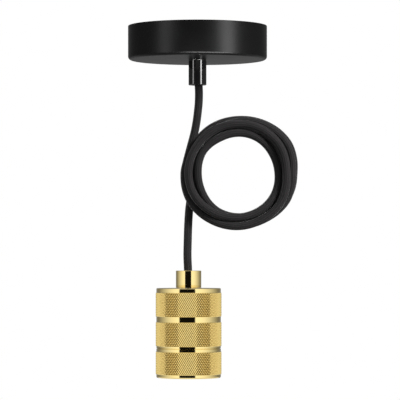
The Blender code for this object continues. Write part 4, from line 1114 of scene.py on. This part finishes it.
class PENDANT_OT_stage(bpy.types.Operator):
    """Set the floor, the lamps, the soft light and the camera"""

    bl_idname = "pendant.stage"
    bl_label = "Floor, lamps and camera"

    def execute(self, context):
        settings = context.scene.pendant_stage
        self.floor(settings)
        self.soft_light(context.scene, settings)
        cup = self.lit_alone("canopy_shell")
        grip = self.lit_alone("canopy_cord_grip")
        for name, group, angle, level, size, height in (
                ("cup_right", cup, 50.0, settings.key_level, (0.60, 1.7), 0.10),
                ("cup_left", cup, -54.0, settings.fill_level, (0.50, 1.7), 0.10),
                ("cup_low", cup, 0.0, settings.key_level, (1.8, 0.10), -0.60),
                ("cup_edge", cup, 20.0, 3 * settings.key_level, (2.4, 0.50), -1.15),
                ("grip_right", grip, 48.0, settings.gloss_level, (0.40, 1.7), 0.10),
                ("grip_left", grip, -58.0, 0.4 * settings.gloss_level, (0.30, 1.7), 0.10)):
            strip = self.lamp(name, angle, level, size, height)
            strip.light_linking.receiver_collection = group
            strip.light_linking.blocker_collection = group
        for name, angle in (("front", 54.0), ("back", 234.0)):
            self.lamp(name, angle, settings.front_level, (0.42, 0.42), 0.75).visible_glossy = False
        self.camera(context.scene, settings)
        context.scene.view_settings.view_transform = "Standard"
        return {"FINISHED"}

    def floor(self, settings):
        """Plain pale floor, white to the camera."""
        shape = bmesh.new()
        bmesh.ops.create_grid(shape, x_segments=1, y_segments=1, size=FLOOR_REACH)
        bmesh.ops.translate(shape, vec=(0, 0, -settings.floor_drop), verts=shape.verts[:])
        floor = linked_object("floor", shape)
        finish = Finish("floor_white")
        finish.set(Base_Color=(0.82, 0.82, 0.82), Roughness=0.9, Specular_IOR_Level=0.2)
        camera, through, glossy = finish.rays("Camera", "Transmission", "Glossy")
        seen = camera + through + glossy
        glow = finish.node("ShaderNodeEmission", inputs={"Color": (1.0, 1.0, 1.0), "Strength": 1.0})
        share = seen.maths("MINIMUM", seen, 1.0) * FLOOR_GLOW
        blend = finish.node("ShaderNodeMixShader",
                            inputs={0: share, 1: Wire(finish, finish.shader.outputs[0]), 2: glow})
        finish.connect(finish.tree.nodes["Material Output"].inputs["Surface"], blend)
        floor.data.materials.append(finish.owner)

    def soft_light(self, scene, settings):
        """Even light, white to the camera, with a dark card behind the camera in reflections."""
        world = bpy.data.worlds.new("soft_light")
        scene.world = world
        sky = Finish("soft_light", world)
        x, y, z = sky.split(sky.node("ShaderNodeTexCoord", output="Generated"))
        round_angle = x.angle_from(y * -1.0) * (180 / math.pi)
        camera, glossy, through = sky.rays("Camera", "Glossy", "Transmission")
        card = round_angle.ramp(*CARD_LEFT) * (1.0 - round_angle.ramp(*CARD_RIGHT))
        sideways = (round_angle.size() - SIDE_ANGLE) / SIDE_SPREAD
        behind = (180.0 - round_angle.size()) / BACK_SPREAD
        bright = SIDE_LEVEL * sideways.bell()
        bright = bright.maths("MAXIMUM", bright, LEAST_LEVEL) + BACK_LEVEL * behind.bell()
        level = (1.0 - z.size().ramp(*CARD_TOP)) * card
        mirror = bright * (1.0 - CARD_DARKNESS * level)
        strength = (settings.soft_level + (camera + through) * (1.0 - settings.soft_level)
                    + glossy * (mirror - settings.soft_level))
        background = world.node_tree.nodes["Background"]
        sky.connect(background.inputs["Color"], (1.0, 1.0, 1.0))
        sky.connect(background.inputs["Strength"], strength)

    def lit_alone(self, name):
        """A collection of one piece, for lamps that only it reflects."""
        group = bpy.data.collections.new(name + "_lit")
        group.objects.link(bpy.data.objects[name])
        return group

    def lamp(self, name, angle, level, size, height):
        """Soft lamp at an angle from the camera's side, in degrees."""
        width, length = size
        lamp = bpy.data.lights.new(name, "AREA")
        lamp.shape = "RECTANGLE"
        lamp.size = width
        lamp.size_y = length
        lamp.energy = level * math.pi * width * length
        holder = bpy.data.objects.new(name, lamp)
        turn = math.radians(angle)
        place = Vector((LAMP_DISTANCE * math.sin(turn), -LAMP_DISTANCE * math.cos(turn), height))
        aim = LAMP_AIM - place
        holder.matrix_world = Matrix.Translation(place) @ aim.to_track_quat("-Z", "Y").to_matrix().to_4x4()
        bpy.context.scene.collection.objects.link(holder)
        return holder

    def camera(self, scene, settings):
        """Level view along +Y, as in the photograph."""
        view = bpy.data.cameras.new("camera")
        view.lens = settings.lens
        view.sensor_width = SENSOR_WIDTH
        view.shift_y = CAMERA_SHIFT
        holder = bpy.data.objects.new("camera", view)
        holder.matrix_world = (Matrix.Translation((CAMERA_X, -settings.distance, CAMERA_Z))
                               @ Matrix.Rotation(math.pi / 2, 4, "X"))
        scene.collection.objects.link(holder)
        scene.camera = holder


class PENDANT_PT_pieces(bpy.types.Panel):
    """Buttons and settings of the pendant light"""

    bl_idname = "PENDANT_PT_pieces"
    bl_label = "Pendant light"
    bl_space_type = "VIEW_3D"
    bl_region_type = "UI"
    bl_category = "Pendant"

    def draw(self, context):
        layout = self.layout
        for operator in OPERATORS:
            layout.operator(operator.bl_idname)
        for group in GROUPS:
            settings = getattr(context.scene, group)
            box = layout.box()
            for name in settings.__annotations__:
                box.prop(settings, name)


GROUPS = {
    "pendant_cord": CordSettings,
    "pendant_canopy": CanopySettings,
    "pendant_holder": HolderSettings,
    "pendant_stage": StageSettings,
}
OPERATORS = (
    PENDANT_OT_cord,
    PENDANT_OT_canopy,
    PENDANT_OT_grips,
    PENDANT_OT_shells,
    PENDANT_OT_socket,
    PENDANT_OT_hardware,
    PENDANT_OT_stage,
)


def register():
    """Register the settings, operators and panel."""
    for name, group in GROUPS.items():
        bpy.utils.register_class(group)
        setattr(bpy.types.Scene, name, bpy.props.PointerProperty(type=group))
    for operator in OPERATORS:
        bpy.utils.register_class(operator)
    bpy.utils.register_class(PENDANT_PT_pieces)


def unregister():
    """Remove what register added."""
    bpy.utils.unregister_class(PENDANT_PT_pieces)
    for operator in reversed(OPERATORS):
        bpy.utils.unregister_class(operator)
    for name, group in reversed(GROUPS.items()):
        delattr(bpy.types.Scene, name)
        bpy.utils.unregister_class(group)


def main():
    """Make every piece and the stage."""
    register()
    bpy.ops.pendant.cord()
    bpy.ops.pendant.canopy()
    bpy.ops.pendant.grips()
    bpy.ops.pendant.shells()
    bpy.ops.pendant.socket()
    bpy.ops.pendant.hardware()
    bpy.ops.pendant.stage()


if __name__ == "__main__":
    main()
